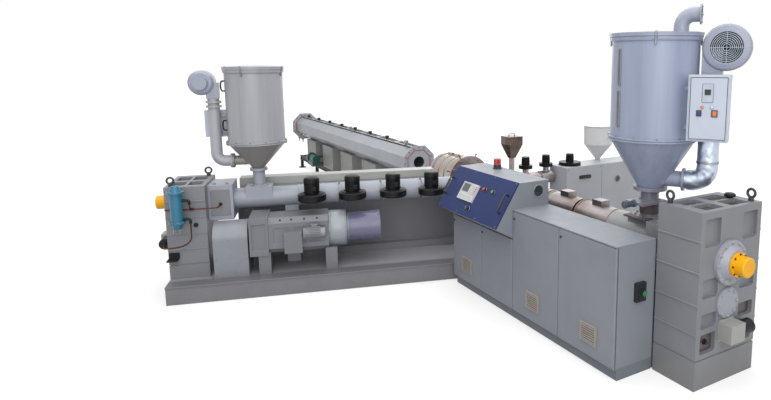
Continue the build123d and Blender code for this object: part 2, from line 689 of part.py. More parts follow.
# Oil cooler: upright tube with flanged ends, held off the gearbox front by two brackets
with BuildPart() as side_oil_cooler:
    cooler_x = SIDE_GEAR_START + COOLER_AT
    cooler_y = -SIDE_GEAR_HALF - COOLER_CLEAR - COOLER_FLANGE_RADIUS
    cooler_low = AXIS_HEIGHT - COOLER_DROP
    dome = COOLER_RADIUS * COOLER_DOME_SHARE
    low_flange = COOLER_RADIUS + COOLER_FLANGE_THICK
    high_end = COOLER_LENGTH - COOLER_RADIUS
    high_flange = high_end - COOLER_FLANGE_THICK
    turned(SIDE, (cooler_x, cooler_y, cooler_low), (0, 0, 1),
           [(0, 0), (0, dome), (COOLER_RADIUS, COOLER_RADIUS), (COOLER_RADIUS, COOLER_FLANGE_RADIUS),
            (low_flange, COOLER_FLANGE_RADIUS), (low_flange, COOLER_RADIUS), (high_flange, COOLER_RADIUS),
            (high_flange, COOLER_FLANGE_RADIUS), (high_end, COOLER_FLANGE_RADIUS),
            (high_end, COOLER_RADIUS),
            (COOLER_LENGTH, dome), (COOLER_LENGTH, 0)])
    for share in COOLER_BRACKET_SHARES:
        level = cooler_low + share * COOLER_LENGTH
        block(SIDE, (cooler_x - COOLER_RADIUS / 2, cooler_y, level - COOLER_FLANGE_THICK / 2),
              (cooler_x + COOLER_RADIUS / 2, -SIDE_GEAR_HALF, level + COOLER_FLANGE_THICK / 2))
finish(side_oil_cooler, "side_oil_cooler")


def barrel(frame, gear_end, throat, feed_end, feed_radius, neck, flange, cone_bottom):
    """The lantern on the gearbox, the feed housing and its throat, the barrel, the stand under its front."""
    lantern_end = gear_end + LANTERN_LENGTH
    block(frame, (gear_end, -LANTERN_HALF, AXIS_HEIGHT - LANTERN_HALF),
          (lantern_end, LANTERN_HALF, AXIS_HEIGHT + LANTERN_HALF))
    for side in (-1, 1):
        face = Plane(origin=(gear_end + LANTERN_LENGTH / 2, side * LANTERN_HALF, AXIS_HEIGHT),
                     x_dir=(1, 0, 0), z_dir=(0, side, 0))
        pocket(within(frame, face), LANTERN_WINDOW, LANTERN_WINDOW, LANTERN_SINK)
    turned(frame, (lantern_end, 0, AXIS_HEIGHT), (1, 0, 0),
           [(0, 0), (0, feed_radius), (feed_end - lantern_end, feed_radius),
            (feed_end - lantern_end, BARREL_RADIUS),
            (BARREL_FRONT - NOSE_RING - lantern_end, BARREL_RADIUS),
            (BARREL_FRONT - NOSE_RING - lantern_end, DIE_ADAPTER_RADIUS),
            (BARREL_FRONT - lantern_end, DIE_ADAPTER_RADIUS), (BARREL_FRONT - lantern_end, 0)])
    saddle = AXIS_HEIGHT + feed_radius + SADDLE_THICK
    block(frame, (throat - SADDLE_LENGTH / 2, -SADDLE_WIDTH / 2, AXIS_HEIGHT),
          (throat + SADDLE_LENGTH / 2, SADDLE_WIDTH / 2, saddle))
    neck_rise = cone_bottom - saddle
    turned(frame, (throat, 0, saddle), (0, 0, 1),
           [(0, 0), (0, flange), (NECK_FLANGE_THICK / 2, flange), (NECK_FLANGE_THICK / 2, neck),
            (neck_rise - NECK_FLANGE_THICK, neck), (neck_rise - NECK_FLANGE_THICK, flange),
            (neck_rise, flange),
            (neck_rise, 0)])
    block(frame, (feed_end - STAND_WIDTH, STAND_FRONT, BED_HEIGHT), (feed_end, STAND_BACK, AXIS_HEIGHT))


# Main barrel with feed housing, and the slide gate across its throat
with BuildPart() as main_barrel:
    barrel(MAIN, MAIN_GEAR_END, MAIN_THROAT, MAIN_FEED_END, MAIN_FEED_RADIUS, MAIN_NECK_RADIUS,
           MAIN_NECK_FLANGE,
           MAIN_CONE_BOTTOM)
    gate_foot = AXIS_HEIGHT + MAIN_FEED_RADIUS + SADDLE_THICK
    gate_low = gate_foot + GATE_RISE_SHARE * (MAIN_CONE_BOTTOM - gate_foot)
    block(MAIN, (MAIN_THROAT - GATE_WIDTH / 2, -GATE_WIDTH / 2, gate_low),
          (MAIN_THROAT + GATE_WIDTH / 2, GATE_LENGTH - GATE_WIDTH / 2, gate_low + GATE_THICK))
finish(main_barrel, "main_barrel")

# Side barrel with feed housing
with BuildPart() as side_barrel:
    barrel(SIDE, SIDE_GEAR_END, SIDE_THROAT, SIDE_FEED_END, SIDE_FEED_RADIUS, SIDE_NECK_RADIUS,
           SIDE_NECK_FLANGE,
           SIDE_CONE_BOTTOM)
finish(side_barrel, "side_barrel")


def heater_covers(frame, start, radius, terminals):
    """Round covers over the heater zones with beaded ends, the main ones with a terminal box on top."""
    pitch = (BARREL_FRONT - NOSE_RING - start) / SHROUD_COUNT
    length = pitch - SHROUD_GAP
    bead = radius + SHROUD_BEAD
    for index in range(SHROUD_COUNT):
        here = start + index * pitch
        turned(frame, (here, 0, AXIS_HEIGHT), (1, 0, 0),
               [(0, BARREL_RADIUS), (0, bead), (SHROUD_LIP, bead), (SHROUD_LIP, radius),
                (length - SHROUD_LIP, radius),
                (length - SHROUD_LIP, bead), (length, bead), (length, BARREL_RADIUS)])
        if terminals:
            middle = here + length / 2
            block(frame, (middle - TERMINAL_LENGTH / 2, -TERMINAL_WIDTH / 2, AXIS_HEIGHT + BARREL_RADIUS),
                  (middle + TERMINAL_LENGTH / 2, TERMINAL_WIDTH / 2, AXIS_HEIGHT + radius + TERMINAL_RISE))


# Heater covers of both barrels
with BuildPart() as main_heater_covers:
    heater_covers(MAIN, MAIN_FEED_END, MAIN_SHROUD_RADIUS, True)
finish(main_heater_covers, "main_heater_covers")

with BuildPart() as side_heater_covers:
    heater_covers(SIDE, SIDE_FEED_END, SIDE_SHROUD_RADIUS, False)
finish(side_heater_covers, "side_heater_covers")

# Barrel cooling blowers of the side extruder: scroll, upright motor and the neck to the heater cover
with BuildPart() as side_barrel_blowers:
    blower_low = AXIS_HEIGHT - BLOWER_DROP
    motor_top = BLOWER_SCROLL_RISE + BLOWER_MOTOR_RISE
    scroll_lip = BLOWER_SCROLL_RADIUS - BLOWER_SCROLL_EDGE
    for share in BLOWER_SHARES:
        station = SIDE_FEED_END + share * (BARREL_FRONT - SIDE_FEED_END)
        turned(SIDE, (station, -BLOWER_OFFSET, blower_low), (0, 0, 1),
               [(0, 0), (0, scroll_lip), (BLOWER_SCROLL_EDGE, BLOWER_SCROLL_RADIUS),
                (BLOWER_SCROLL_RISE - BLOWER_SCROLL_EDGE, BLOWER_SCROLL_RADIUS),
                (BLOWER_SCROLL_RISE, scroll_lip),
                (BLOWER_SCROLL_RISE, BLOWER_MOTOR_RADIUS), (motor_top - BLOWER_MOTOR_EDGE,
                                                            BLOWER_MOTOR_RADIUS),
                (motor_top, BLOWER_MOTOR_RADIUS - BLOWER_MOTOR_EDGE), (motor_top, 0)])
        block(SIDE, (station - BLOWER_NECK_WIDTH / 2, -BLOWER_OFFSET, blower_low + BLOWER_SCROLL_EDGE),
              (station + BLOWER_NECK_WIDTH / 2, -SIDE_SHROUD_RADIUS, blower_low + BLOWER_SCROLL_RISE))
finish(side_barrel_blowers, "side_barrel_blowers")

# Cable trunking behind the side barrel, on posts from the wall housing, with its lid
with BuildPart() as side_trunking:
    trunking_start = SIDE_GEAR_END + TRUNKING_START
    trunking_end = BARREL_FRONT - TRUNKING_FRONT_GAP
    front = TRUNKING_OFFSET - TRUNKING_DEPTH / 2
    back = TRUNKING_OFFSET + TRUNKING_DEPTH / 2
    block(SIDE, (trunking_start, front, TRUNKING_TOP - TRUNKING_RISE), (trunking_end, back, TRUNKING_TOP))
    block(SIDE, (trunking_start, front - TRUNKING_LID, TRUNKING_TOP - TRUNKING_DEPTH / 2),
          (trunking_end, back + TRUNKING_LID, TRUNKING_TOP + TRUNKING_LID))
    for share in TRUNKING_POST_SHARES:
        here = trunking_start + share * (trunking_end - trunking_start)
        block(SIDE, (here, TRUNKING_OFFSET, WALL_TOP),
              (here + TRUNKING_DEPTH / 2, back, TRUNKING_TOP - TRUNKING_RISE))
finish(side_trunking, "side_trunking")


def drive_motor(frame, start, height):
    """A square motor: end bell, chamfered body with sunk panels, fan drum, terminal box, two pedestals."""
    body = start + MOTOR_BELL
    end = start + MOTOR_LENGTH
    front = MOTOR_OFFSET - MOTOR_HALF
    with BuildSketch(within(frame, Plane.YZ.offset(body))) as section:
        with Locations((MOTOR_OFFSET, height)):
            Rectangle(2 * MOTOR_HALF, 2 * MOTOR_HALF)
        chamfer(section.vertices(), MOTOR_CHAMFER)
    extrude(section.sketch, amount=end - body)
    block(frame, (start, MOTOR_OFFSET - MOTOR_BELL_HALF, height - MOTOR_BELL_HALF),
          (body, MOTOR_OFFSET + MOTOR_BELL_HALF, height + MOTOR_BELL_HALF))
    window = MOTOR_HALF - 2 * MOTOR_BELL_RELIEF
    block(frame, (start + MOTOR_BELL_RELIEF, front - OVERRUN - MOTOR_BELL_RELIEF, height - window),
          (body - MOTOR_BELL_RELIEF, front, height + window), Mode.SUBTRACT)
    for low, high in MOTOR_PANEL_SHARES:
        block(frame, (body + low * (end - body), front - OVERRUN, height - MOTOR_HALF + 2 * MOTOR_CHAMFER),
              (body + high * (end - body), front + MOTOR_PANEL_SINK,
               height + MOTOR_HALF - 2 * MOTOR_CHAMFER),
              Mode.SUBTRACT)
    turned(frame, (end, MOTOR_OFFSET, height), (1, 0, 0),
           [(0, 0), (0, DRUM_RADIUS), (DRUM_LENGTH - DRUM_EDGE, DRUM_RADIUS),
            (DRUM_LENGTH, DRUM_RADIUS - DRUM_EDGE),
            (DRUM_LENGTH, 0)])
    box_start = start + TERMINAL_BOX_AT
    box_middle = height - TERMINAL_BOX_DROP
    block(frame, (box_start, front - TERMINAL_BOX_DEPTH, box_middle - TERMINAL_BOX_RISE / 2),
          (box_start + TERMINAL_BOX_LENGTH, MOTOR_OFFSET, box_middle + TERMINAL_BOX_RISE / 2))
    for share in PEDESTAL_SHARES:
        here = start + share * MOTOR_LENGTH
        block(frame, (here, MOTOR_OFFSET - PEDESTAL_DEPTH / 2, BED_HEIGHT),
              (here + PEDESTAL_WIDTH, MOTOR_OFFSET + PEDESTAL_DEPTH / 2,
               height - MOTOR_HALF + PEDESTAL_CAP))


# Drive motors of both extruders
with BuildPart() as drive_motors:
    drive_motor(MAIN, MAIN_MOTOR_START, MAIN_MOTOR_HEIGHT)
    drive_motor(SIDE, SIDE_MOTOR_START, SIDE_MOTOR_HEIGHT)
finish(drive_motors, "drive_motors")

# Cooling fan motor lying along the front of the side motor
with BuildPart() as side_motor_fan:
    fan_start = SIDE_MOTOR_START + FAN_MOTOR_AT
    fan_y = MOTOR_OFFSET - MOTOR_HALF - FAN_MOTOR_RADIUS
    fan_z = SIDE_MOTOR_HEIGHT + FAN_MOTOR_LIFT
    slim = FAN_MOTOR_RADIUS - FAN_MOTOR_RELIEF
    turned(SIDE, (fan_start, fan_y, fan_z), (1, 0, 0),
           [(0, 0), (0, FAN_MOTOR_RADIUS), (FAN_MOTOR_COWL, FAN_MOTOR_RADIUS), (FAN_MOTOR_COWL, slim),
            (FAN_MOTOR_LENGTH - FAN_MOTOR_RELIEF, slim), (FAN_MOTOR_LENGTH, slim - FAN_MOTOR_RELIEF),
            (FAN_MOTOR_LENGTH, 0)])
    block(SIDE, (fan_start + FAN_MOTOR_COWL, fan_y, fan_z - FAN_MOTOR_RADIUS / 2),
          (fan_start + FAN_MOTOR_LENGTH / 2, MOTOR_OFFSET - MOTOR_HALF, fan_z + FAN_MOTOR_RADIUS / 2))
finish(side_motor_fan, "side_motor_fan")

# Air sleeve on the side motor's front end, open towards the die, with a hemmed mouth
with BuildPart() as side_motor_sleeve:
    turned(SIDE, (SIDE_MOTOR_START + MOTOR_LENGTH + DRUM_LENGTH, MOTOR_OFFSET, SIDE_MOTOR_HEIGHT),
           (1, 0, 0),
           [(0, 0), (0, SLEEVE_BACK_RADIUS), (SLEEVE_LENGTH - SLEEVE_HEM, SLEEVE_FRONT_RADIUS),
            (SLEEVE_LENGTH - SLEEVE_HEM, SLEEVE_FRONT_RADIUS + SLEEVE_HEM_REACH),
            (SLEEVE_LENGTH, SLEEVE_FRONT_RADIUS + SLEEVE_HEM_REACH),
            (SLEEVE_LENGTH, SLEEVE_FRONT_RADIUS - SLEEVE_WALL),
            (SLEEVE_WALL, SLEEVE_BACK_RADIUS - SLEEVE_WALL), (SLEEVE_WALL, 0)])
finish(side_motor_sleeve, "side_motor_sleeve")


def coupling_guard(frame, start, end):
    """A sheet guard over the coupling, straight below and round on top."""
    arch = GUARD_TOP - GUARD_HALF
    with BuildSketch(within(frame, Plane.YZ.offset(start))) as outline:
        with Locations((MOTOR_OFFSET, (BED_HEIGHT + arch) / 2)):
            Rectangle(2 * GUARD_HALF, arch - BED_HEIGHT)
        with Locations((MOTOR_OFFSET, arch)):
            Circle(GUARD_HALF)
    extrude(outline.sketch, amount=end - start)


# Coupling guards of both drives
with BuildPart() as coupling_guards:
    coupling_guard(MAIN, MAIN_GEAR_END + MAIN_BED_GAP, MAIN_MOTOR_START - GUARD_CLEAR)
    coupling_guard(SIDE, SIDE_GEAR_END + GUARD_GAP, SIDE_MOTOR_START - GUARD_CLEAR)
finish(coupling_guards, "coupling_guards")


def dryer_frame(frame, throat, turn):
    """The frame of a dryer: its axis upright over the throat, +X towards its blower."""
    foot = frame.from_local_coords(Vector(throat, 0, 0))
    return Plane(origin=foot, x_dir=(math.cos(turn), math.sin(turn), 0), z_dir=(0, 0, 1))


Dryer = namedtuple("Dryer",
                   "place bottom ring top radius mouth fan_radius fan_height fan_at pipe_at pipe_radius "
                            "stub box_start box_width box_back box_low box_rise")
MAIN_RING = MAIN_CONE_BOTTOM + MAIN_CONE_RISE
MAIN_DRYER_TOP = MAIN_RING + MAIN_DRYER_RISE
SIDE_RING = SIDE_CONE_BOTTOM + SIDE_CONE_RISE
SIDE_DRYER_TOP = SIDE_RING + SIDE_DRYER_RISE
MAIN_DRYER = Dryer(
    place=dryer_frame(MAIN, MAIN_THROAT, math.radians(MAIN_DRYER_TURN_DEG)), bottom=MAIN_CONE_BOTTOM,
    ring=MAIN_RING,
    top=MAIN_DRYER_TOP, radius=MAIN_DRYER_RADIUS, mouth=MAIN_NECK_FLANGE - DRYER_MOUTH_INSET,
    fan_radius=MAIN_FAN_RADIUS, fan_height=MAIN_DRYER_TOP - MAIN_FAN_DROP,
    fan_at=MAIN_PIPE_AT + MAIN_FAN_SHIFT,
    pipe_at=MAIN_PIPE_AT, pipe_radius=MAIN_PIPE_RADIUS, stub=MAIN_CONE_BOTTOM + MAIN_STUB_RISE,
    box_start=MAIN_BOX_START, box_width=MAIN_BOX_WIDTH, box_back=MAIN_BOX_BACK,
    box_low=MAIN_DRYER_TOP - MAIN_BOX_DROP - MAIN_BOX_RISE, box_rise=MAIN_BOX_RISE)
SIDE_DRYER = Dryer(
    place=dryer_frame(SIDE, SIDE_THROAT, SKEW + math.pi), bottom=SIDE_CONE_BOTTOM, ring=SIDE_RING,
    top=SIDE_DRYER_TOP, radius=SIDE_DRYER_RADIUS, mouth=SIDE_NECK_FLANGE - DRYER_MOUTH_INSET,
    fan_radius=SIDE_FAN_RADIUS, fan_height=SIDE_DRYER_TOP - SIDE_FAN_DROP,
    fan_at=SIDE_PIPE_AT + SIDE_FAN_SHIFT,
    pipe_at=SIDE_PIPE_AT, pipe_radius=SIDE_PIPE_RADIUS, stub=SIDE_CONE_BOTTOM + SIDE_STUB_RISE,
    box_start=SIDE_BOX_START, box_width=SIDE_BOX_WIDTH, box_back=SIDE_BOX_BACK,
    box_low=SIDE_DRYER_TOP - SIDE_BOX_DROP - SIDE_BOX_RISE, box_rise=SIDE_BOX_RISE)
DRYERS = {"main": MAIN_DRYER, "side": SIDE_DRYER}


def dryer_hopper(dryer):
    """The hopper shell: cone, flange pair, cylinder and rim, with the hot air stub and the box brackets."""
    rim = dryer.radius + DRYER_RING_WIDTH
    inner = dryer.radius - DRYER_WALL
    rise = dryer.top - dryer.bottom
    joint = dryer.ring - dryer.bottom
    shoulder = joint - DRYER_RING_RISE
    groove = rim - DRYER_JOINT_DEPTH
    reach = DRYER_STUB_REACH_SHARE * dryer.pipe_at
    rod(dryer.place, (0, 0, dryer.stub), (1, 0, 0), DRYER_STUB_SHARE * dryer.pipe_radius, reach)
    rod(dryer.place, (reach - DRYER_COLLAR_THICK, 0, dryer.stub), (1, 0, 0),
        dryer.pipe_radius + DRYER_COLLAR,
        DRYER_COLLAR_THICK)
    for share in DRYER_BRACKET_SHARES:
        level = dryer.box_low + share * dryer.box_rise
        block(dryer.place, (dryer.box_start - DRYER_BRACKET_REACH, -dryer.box_back, level),
              (dryer.box_start + DRYER_BRACKET_REACH, DRYER_BRACKET - dryer.box_back,
               level + DRYER_BRACKET))
    turned(dryer.place, (0, 0, dryer.bottom), (0, 0, 1),
           [(0, 0), (0, dryer.mouth), (shoulder, dryer.radius), (shoulder, rim),
            (joint - DRYER_JOINT / 2, rim),
            (joint - DRYER_JOINT / 2, groove), (joint + DRYER_JOINT / 2, groove),
            (joint + DRYER_JOINT / 2, rim),
            (joint + DRYER_RING_RISE, rim), (joint + DRYER_RING_RISE, dryer.radius),
            (rise - DRYER_RING_RISE, dryer.radius), (rise - DRYER_RING_RISE, rim), (rise, rim), (rise, 0)])
    turned(dryer.place, (0, 0, dryer.bottom), (0, 0, 1),
           [(0, 0), (0, dryer.mouth - DRYER_WALL), (shoulder, inner), (rise, inner), (rise, 0)],
           Mode.SUBTRACT)


def dryer_pipe(dryer):
    """The hot air pipe from the blower down to the stub, the side one with a flange pair and an end flange."""
    start = dryer.fan_height - dryer.fan_radius - FAN_OUTLET_DROP
    reach = DRYER_STUB_REACH_SHARE * dryer.pipe_at
    bent_pipe(dryer.place, ((dryer.pipe_at, 0, start), (dryer.pipe_at, 0, dryer.stub),
                            (reach, 0, dryer.stub)),
              DRYER_BEND_SHARE * dryer.pipe_radius, dryer.pipe_radius)
    if dryer is SIDE_DRYER:
        for share in DRYER_COLLAR_SHARES:
            level = dryer.stub + share * (start - dryer.stub)
            rod(dryer.place, (dryer.pipe_at, 0, level), (0, 0, 1), dryer.pipe_radius + DRYER_COLLAR,
                DRYER_COLLAR_THICK)
        rod(dryer.place, (reach, 0, dryer.stub), (1, 0, 0), dryer.pipe_radius + DRYER_COLLAR,
            DRYER_COLLAR_THICK)


for owner, dryer in DRYERS.items():
    with BuildPart() as hopper:
        dryer_hopper(dryer)
    finish(hopper, f"{owner}_dryer_hopper")
    with BuildPart() as air:
        dryer_pipe(dryer)
    finish(air, f"{owner}_dryer_pipe")

# Lids of both dryers, the main one with an exhaust elbow and its mouth flange
with BuildPart() as dryer_lids:
    for dryer in DRYERS.values():
        turned(dryer.place, (0, 0, dryer.top), (0, 0, 1),
               [(0, 0), (0, dryer.radius + DRYER_RING_WIDTH),
                (DRYER_LID_EDGE, dryer.radius + DRYER_RING_WIDTH),
                (DRYER_LID_CROWN, DRYER_LID_CROWN_SHARE * dryer.radius), (DRYER_LID_CROWN, 0)])
    exhaust = MAIN_DRYER_TOP + EXHAUST_RISE
    mouth = EXHAUST_AT + EXHAUST_REACH
    bent_pipe(MAIN_DRYER.place, ((EXHAUST_AT, 0, MAIN_DRYER_TOP + DRYER_LID_EDGE), (EXHAUST_AT, 0, exhaust),
                                 (mouth, 0, exhaust)), EXHAUST_BEND, EXHAUST_RADIUS, EXHAUST_WALL)
    turned(MAIN_DRYER.place, (mouth - EXHAUST_FLANGE_THICK, 0, exhaust), (1, 0, 0),
           [(0, EXHAUST_RADIUS - EXHAUST_WALL), (0, EXHAUST_RADIUS + EXHAUST_FLANGE),
            (EXHAUST_FLANGE_THICK, EXHAUST_RADIUS + EXHAUST_FLANGE),
            (EXHAUST_FLANGE_THICK, EXHAUST_RADIUS - EXHAUST_WALL)])
finish(dryer_lids, "dryer_lids")


def dryer_fan(dryer):
    """The blower: a rounded scroll with a sunk eye behind a wire guard, its motor and its outlet."""
    radius = dryer.fan_radius
    eye = FAN_EYE_SHARE * radius
    foot = (dryer.fan_at, FAN_BACK, dryer.fan_height)
    turned(dryer.place, foot, (0, -1, 0),
           [(0, 0), (0, radius - FAN_EDGE), (FAN_EDGE, radius), (FAN_DEPTH - FAN_EDGE, radius),
            (FAN_DEPTH, radius - FAN_EDGE), (FAN_DEPTH, eye), (FAN_DEPTH - FAN_EYE_SINK, eye),
            (FAN_DEPTH - FAN_EYE_SINK, 0)])
    rod(dryer.place, foot, (0, 1, 0), FAN_MOTOR_SHARE * radius, FAN_MOTOR_REACH)
    block(dryer.place, (dryer.pipe_at - dryer.pipe_radius, -dryer.pipe_radius,
                        dryer.fan_height - radius - FAN_OUTLET_DROP),
          (dryer.pipe_at + dryer.pipe_radius, dryer.pipe_radius, dryer.fan_height))
    wire = FAN_DEPTH - GUARD_RING_DEPTH
    for index in range(GUARD_RING_COUNT):
        ring = eye * (index + 1) / (GUARD_RING_COUNT + 1)
        turned(dryer.place, foot, (0, -1, 0),
               [(wire, ring - GUARD_RING_WIDTH / 2), (wire, ring + GUARD_RING_WIDTH / 2),
                (FAN_DEPTH, ring + GUARD_RING_WIDTH / 2), (FAN_DEPTH, ring - GUARD_RING_WIDTH / 2)])
    bar_back = FAN_BACK - FAN_DEPTH + 2 * GUARD_RING_DEPTH
    bar_front = FAN_BACK - FAN_DEPTH + GUARD_RING_DEPTH / 2
    half = GUARD_RING_WIDTH / 2
    block(dryer.place, (dryer.fan_at - eye - half, bar_front, dryer.fan_height - half),
          (dryer.fan_at + eye + half, bar_back, dryer.fan_height + half))
    block(dryer.place, (dryer.fan_at - half, bar_front, dryer.fan_height - eye - half),
          (dryer.fan_at + half, bar_back, dryer.fan_height + eye + half))


# Blowers of both dryers
with BuildPart() as dryer_fans:
    for dryer in DRYERS.values():
        dryer_fan(dryer)
finish(dryer_fans, "dryer_fans")

# Control boxes of both dryers with a raised door
with BuildPart() as dryer_boxes:
    for dryer in DRYERS.values():
        box_end = dryer.box_start + dryer.box_width
        box_top = dryer.box_low + dryer.box_rise
        front = -dryer.box_back - DRYER_BOX_DEPTH
        block(dryer.place, (dryer.box_start, front, dryer.box_low), (box_end, -dryer.box_back, box_top))
        block(dryer.place, (dryer.box_start + BOX_DOOR_MARGIN, front - BOX_DOOR_RISE,
                            dryer.box_low + BOX_DOOR_MARGIN),
              (box_end - BOX_DOOR_MARGIN, front, box_top - BOX_DOOR_MARGIN))
finish(dryer_boxes, "dryer_boxes")


def enclosure(start, seam, end, door_top, top):
    """A sheet enclosure on a set back plinth, open at the front in two bays between its posts."""
    block(MAIN, (start, CABINET_BACK, 0), (end, SHELL_FACE - PLINTH_SET_BACK, PLINTH_HEIGHT))
    block(MAIN, (start, CABINET_BACK, PLINTH_HEIGHT), (end, SHELL_FACE, top))
    for low, high in ((start + CABINET_FRAME, seam - CABINET_MULLION / 2),
                      (seam + CABINET_MULLION / 2, end - CABINET_FRAME)):
        block(MAIN, (low, CABINET_BACK + SHEET, PLINTH_HEIGHT + CABINET_FRAME),
              (high, SHELL_FACE + OVERRUN, door_top - CABINET_FRAME), Mode.SUBTRACT)


def door_leaf(low, high, top):
    """A flush sheet door with a round hinge edge, bored at both ends for its pivot pins."""
    bottom = PLINTH_HEIGHT + DOOR_GAP
    pivot = low + DOOR_THICK / 2
    with BuildSketch(within(MAIN, Plane.XY.offset(bottom))) as section:
        with Locations(((pivot + high) / 2, HINGE_LINE)):
            Rectangle(high - pivot, DOOR_THICK)
        with Locations((pivot, HINGE_LINE)):
            Circle(DOOR_THICK / 2)
    extrude(section.sketch, amount=top - bottom)
    for level in (bottom - HINGE_DEPTH, top - HINGE_DEPTH):
        rod(MAIN, (pivot, HINGE_LINE, level), (0, 0, 1), HINGE_PIN + HINGE_CLEAR, 2 * HINGE_DEPTH,
            Mode.SUBTRACT)


def hinge_tab(low):
    """A tab under a door's hinge edge with the pivot pin standing on it."""
    block(MAIN, (low, SHELL_FACE - PLINTH_SET_BACK, PLINTH_HEIGHT - HINGE_TAB),
          (low + HINGE_TAB_LENGTH, CABINET_FACE, PLINTH_HEIGHT))
    rod(MAIN, (low + DOOR_THICK / 2, HINGE_LINE, PLINTH_HEIGHT), (0, 0, 1), HINGE_PIN,
        DOOR_GAP + HINGE_DEPTH - HINGE_CLEAR)


def hinge_pin(low, ceiling, top):
    """A pivot pin that hangs from the sheet over a door's hinge edge."""
    rod(MAIN, (low + DOOR_THICK / 2, HINGE_LINE, ceiling), (0, 0, -1), HINGE_PIN,
        ceiling - top + HINGE_DEPTH - HINGE_CLEAR)


# Door places along the main machine, each hung on its upright edge nearest the gearbox
DOORS = {
    "cabinet_door_near": (CABINET_NEAR, CABINET_SEAM - DOOR_SEAM / 2, CABINET_DOOR_TOP),
    "cabinet_door_far": (CABINET_SEAM + DOOR_SEAM / 2, CABINET_SPLIT - DOOR_SEAM / 2, CABINET_DOOR_TOP),
    "console_door_near": (CABINET_SPLIT + DOOR_SEAM / 2, CONSOLE_SEAM - DOOR_SEAM / 2, CONSOLE_DOOR_TOP),
    "console_door_far": (CONSOLE_SEAM + DOOR_SEAM / 2, CABINET_FAR, CONSOLE_DOOR_TOP),
}
CABINET_HINGES = (DOORS["cabinet_door_near"][0], DOORS["cabinet_door_far"][0])
CONSOLE_HINGES = (DOORS["console_door_near"][0], DOORS["console_door_far"][0])

# Electrical cabinet, its top sheet reaching over the doors
with BuildPart() as cabinet_shell:
    enclosure(CABINET_NEAR, CABINET_SEAM, CABINET_SPLIT, CABINET_DOOR_TOP, CABINET_HEIGHT)
    block(MAIN, (CABINET_NEAR, CABINET_BACK, CABINET_HEIGHT - SHEET),
          (CABINET_SPLIT, CABINET_FACE, CABINET_HEIGHT))
    for hinge in CABINET_HINGES:
        hinge_tab(hinge)
        hinge_pin(hinge, CABINET_HEIGHT - SHEET, CABINET_DOOR_TOP)
finish(cabinet_shell, "cabinet_shell")

# Lower part of the console
with BuildPart() as console_shell:
    enclosure(CABINET_SPLIT, CONSOLE_SEAM, CABINET_FAR, CONSOLE_DOOR_TOP, HEAD_BOTTOM)
    for hinge in CONSOLE_HINGES:
        hinge_tab(hinge)
finish(console_shell, "console_shell")

for name, (low, high, top) in DOORS.items():
    with BuildPart() as door:
        door_leaf(low, high, top)
    finish(door, name)

# Filter fans low on three of the doors: a framed grille of level slots
FILTERS = {"cabinet_filter_near": "cabinet_door_near", "cabinet_filter_far": "cabinet_door_far",
           "console_filter": "console_door_far"}
for (name, owner), share in zip(FILTERS.items(), FILTER_PLACE_SHARES):
    low, high, top = DOORS[owner]
    middle = low + share * (high - low)
    pitch = (FILTER_RISE - 2 * FILTER_RIM) / FILTER_SLOT_COUNT
    with BuildPart() as grille:
        block(MAIN, (middle - FILTER_WIDTH / 2, CABINET_FACE, FILTER_AT - FILTER_RISE / 2),
              (middle + FILTER_WIDTH / 2, CABINET_FACE + FILTER_REACH, FILTER_AT + FILTER_RISE / 2))
        for index in range(FILTER_SLOT_COUNT):
            level = FILTER_AT - FILTER_RISE / 2 + FILTER_RIM + index * pitch
            block(MAIN, (middle - FILTER_WIDTH / 2 + FILTER_RIM,
                         CABINET_FACE + FILTER_REACH - FILTER_SLOT_DEPTH, level),
                  (middle + FILTER_WIDTH / 2 - FILTER_RIM, CABINET_FACE + FILTER_REACH + OVERRUN,
                   level + FILTER_SLOT_SHARE * pitch), Mode.SUBTRACT)
    finish(grille, name)

# Console head, one folded housing with the sloped operator face
with BuildPart() as console_head:
    with BuildSketch(within(MAIN, Plane.YZ.offset(CABINET_SPLIT))) as head_outline:
        with BuildLine():
            Polyline((CABINET_BACK, HEAD_BOTTOM), (CABINET_FACE, HEAD_BOTTOM),
                     (HEAD_NOSE_FACE, HEAD_NOSE_HEIGHT),
                     (HEAD_TOP_FACE, HEAD_TOP), (CABINET_BACK, HEAD_TOP), close=True)
        make_face()
    extrude(amount=CABINET_FAR - CABINET_SPLIT)
    for hinge in CONSOLE_HINGES:
        hinge_pin(hinge, HEAD_BOTTOM, CONSOLE_DOOR_TOP)
finish(console_head, "console_head")

slope_rise = HEAD_TOP - HEAD_NOSE_HEIGHT
slope_run = HEAD_NOSE_FACE - HEAD_TOP_FACE
SLOPE_LENGTH = math.hypot(slope_rise, slope_run)
SLOPE = within(MAIN, Plane(
    origin=(CONSOLE_SEAM, (HEAD_NOSE_FACE + HEAD_TOP_FACE) / 2, (HEAD_NOSE_HEIGHT + HEAD_TOP) / 2),
    x_dir=(-1, 0, 0), z_dir=(0, slope_rise / SLOPE_LENGTH, slope_run / SLOPE_LENGTH)))
panel_length = CONSOLE_LENGTH - 2 * PANEL_MARGIN
panel_rise = SLOPE_LENGTH - 2 * PANEL_MARGIN

# Operator panel on the slope
with BuildPart() as console_panel:
    block(SLOPE, (-panel_length / 2, -panel_rise / 2, 0), (panel_length / 2, panel_rise / 2, PANEL_THICK))
finish(console_panel, "console_panel")

# Display unit with its sunk screen at the upper left
with BuildPart() as console_display:
    display_left = DISPLAY_AT_SHARE * panel_length - DISPLAY_LENGTH / 2
    display_face = PANEL_THICK + DISPLAY_THICK
    block(SLOPE, (display_left, -DISPLAY_RISE / 2, PANEL_THICK),
          (display_left + DISPLAY_LENGTH, DISPLAY_RISE / 2, display_face))
    screen_top = DISPLAY_RISE / 2 - SCREEN_RIM
    block(SLOPE, (display_left + SCREEN_RIM, screen_top - SCREEN_RISE, display_face - SCREEN_SINK),
          (display_left + SCREEN_RIM + SCREEN_LENGTH, screen_top, display_face + OVERRUN), Mode.SUBTRACT)
finish(console_display, "console_display")

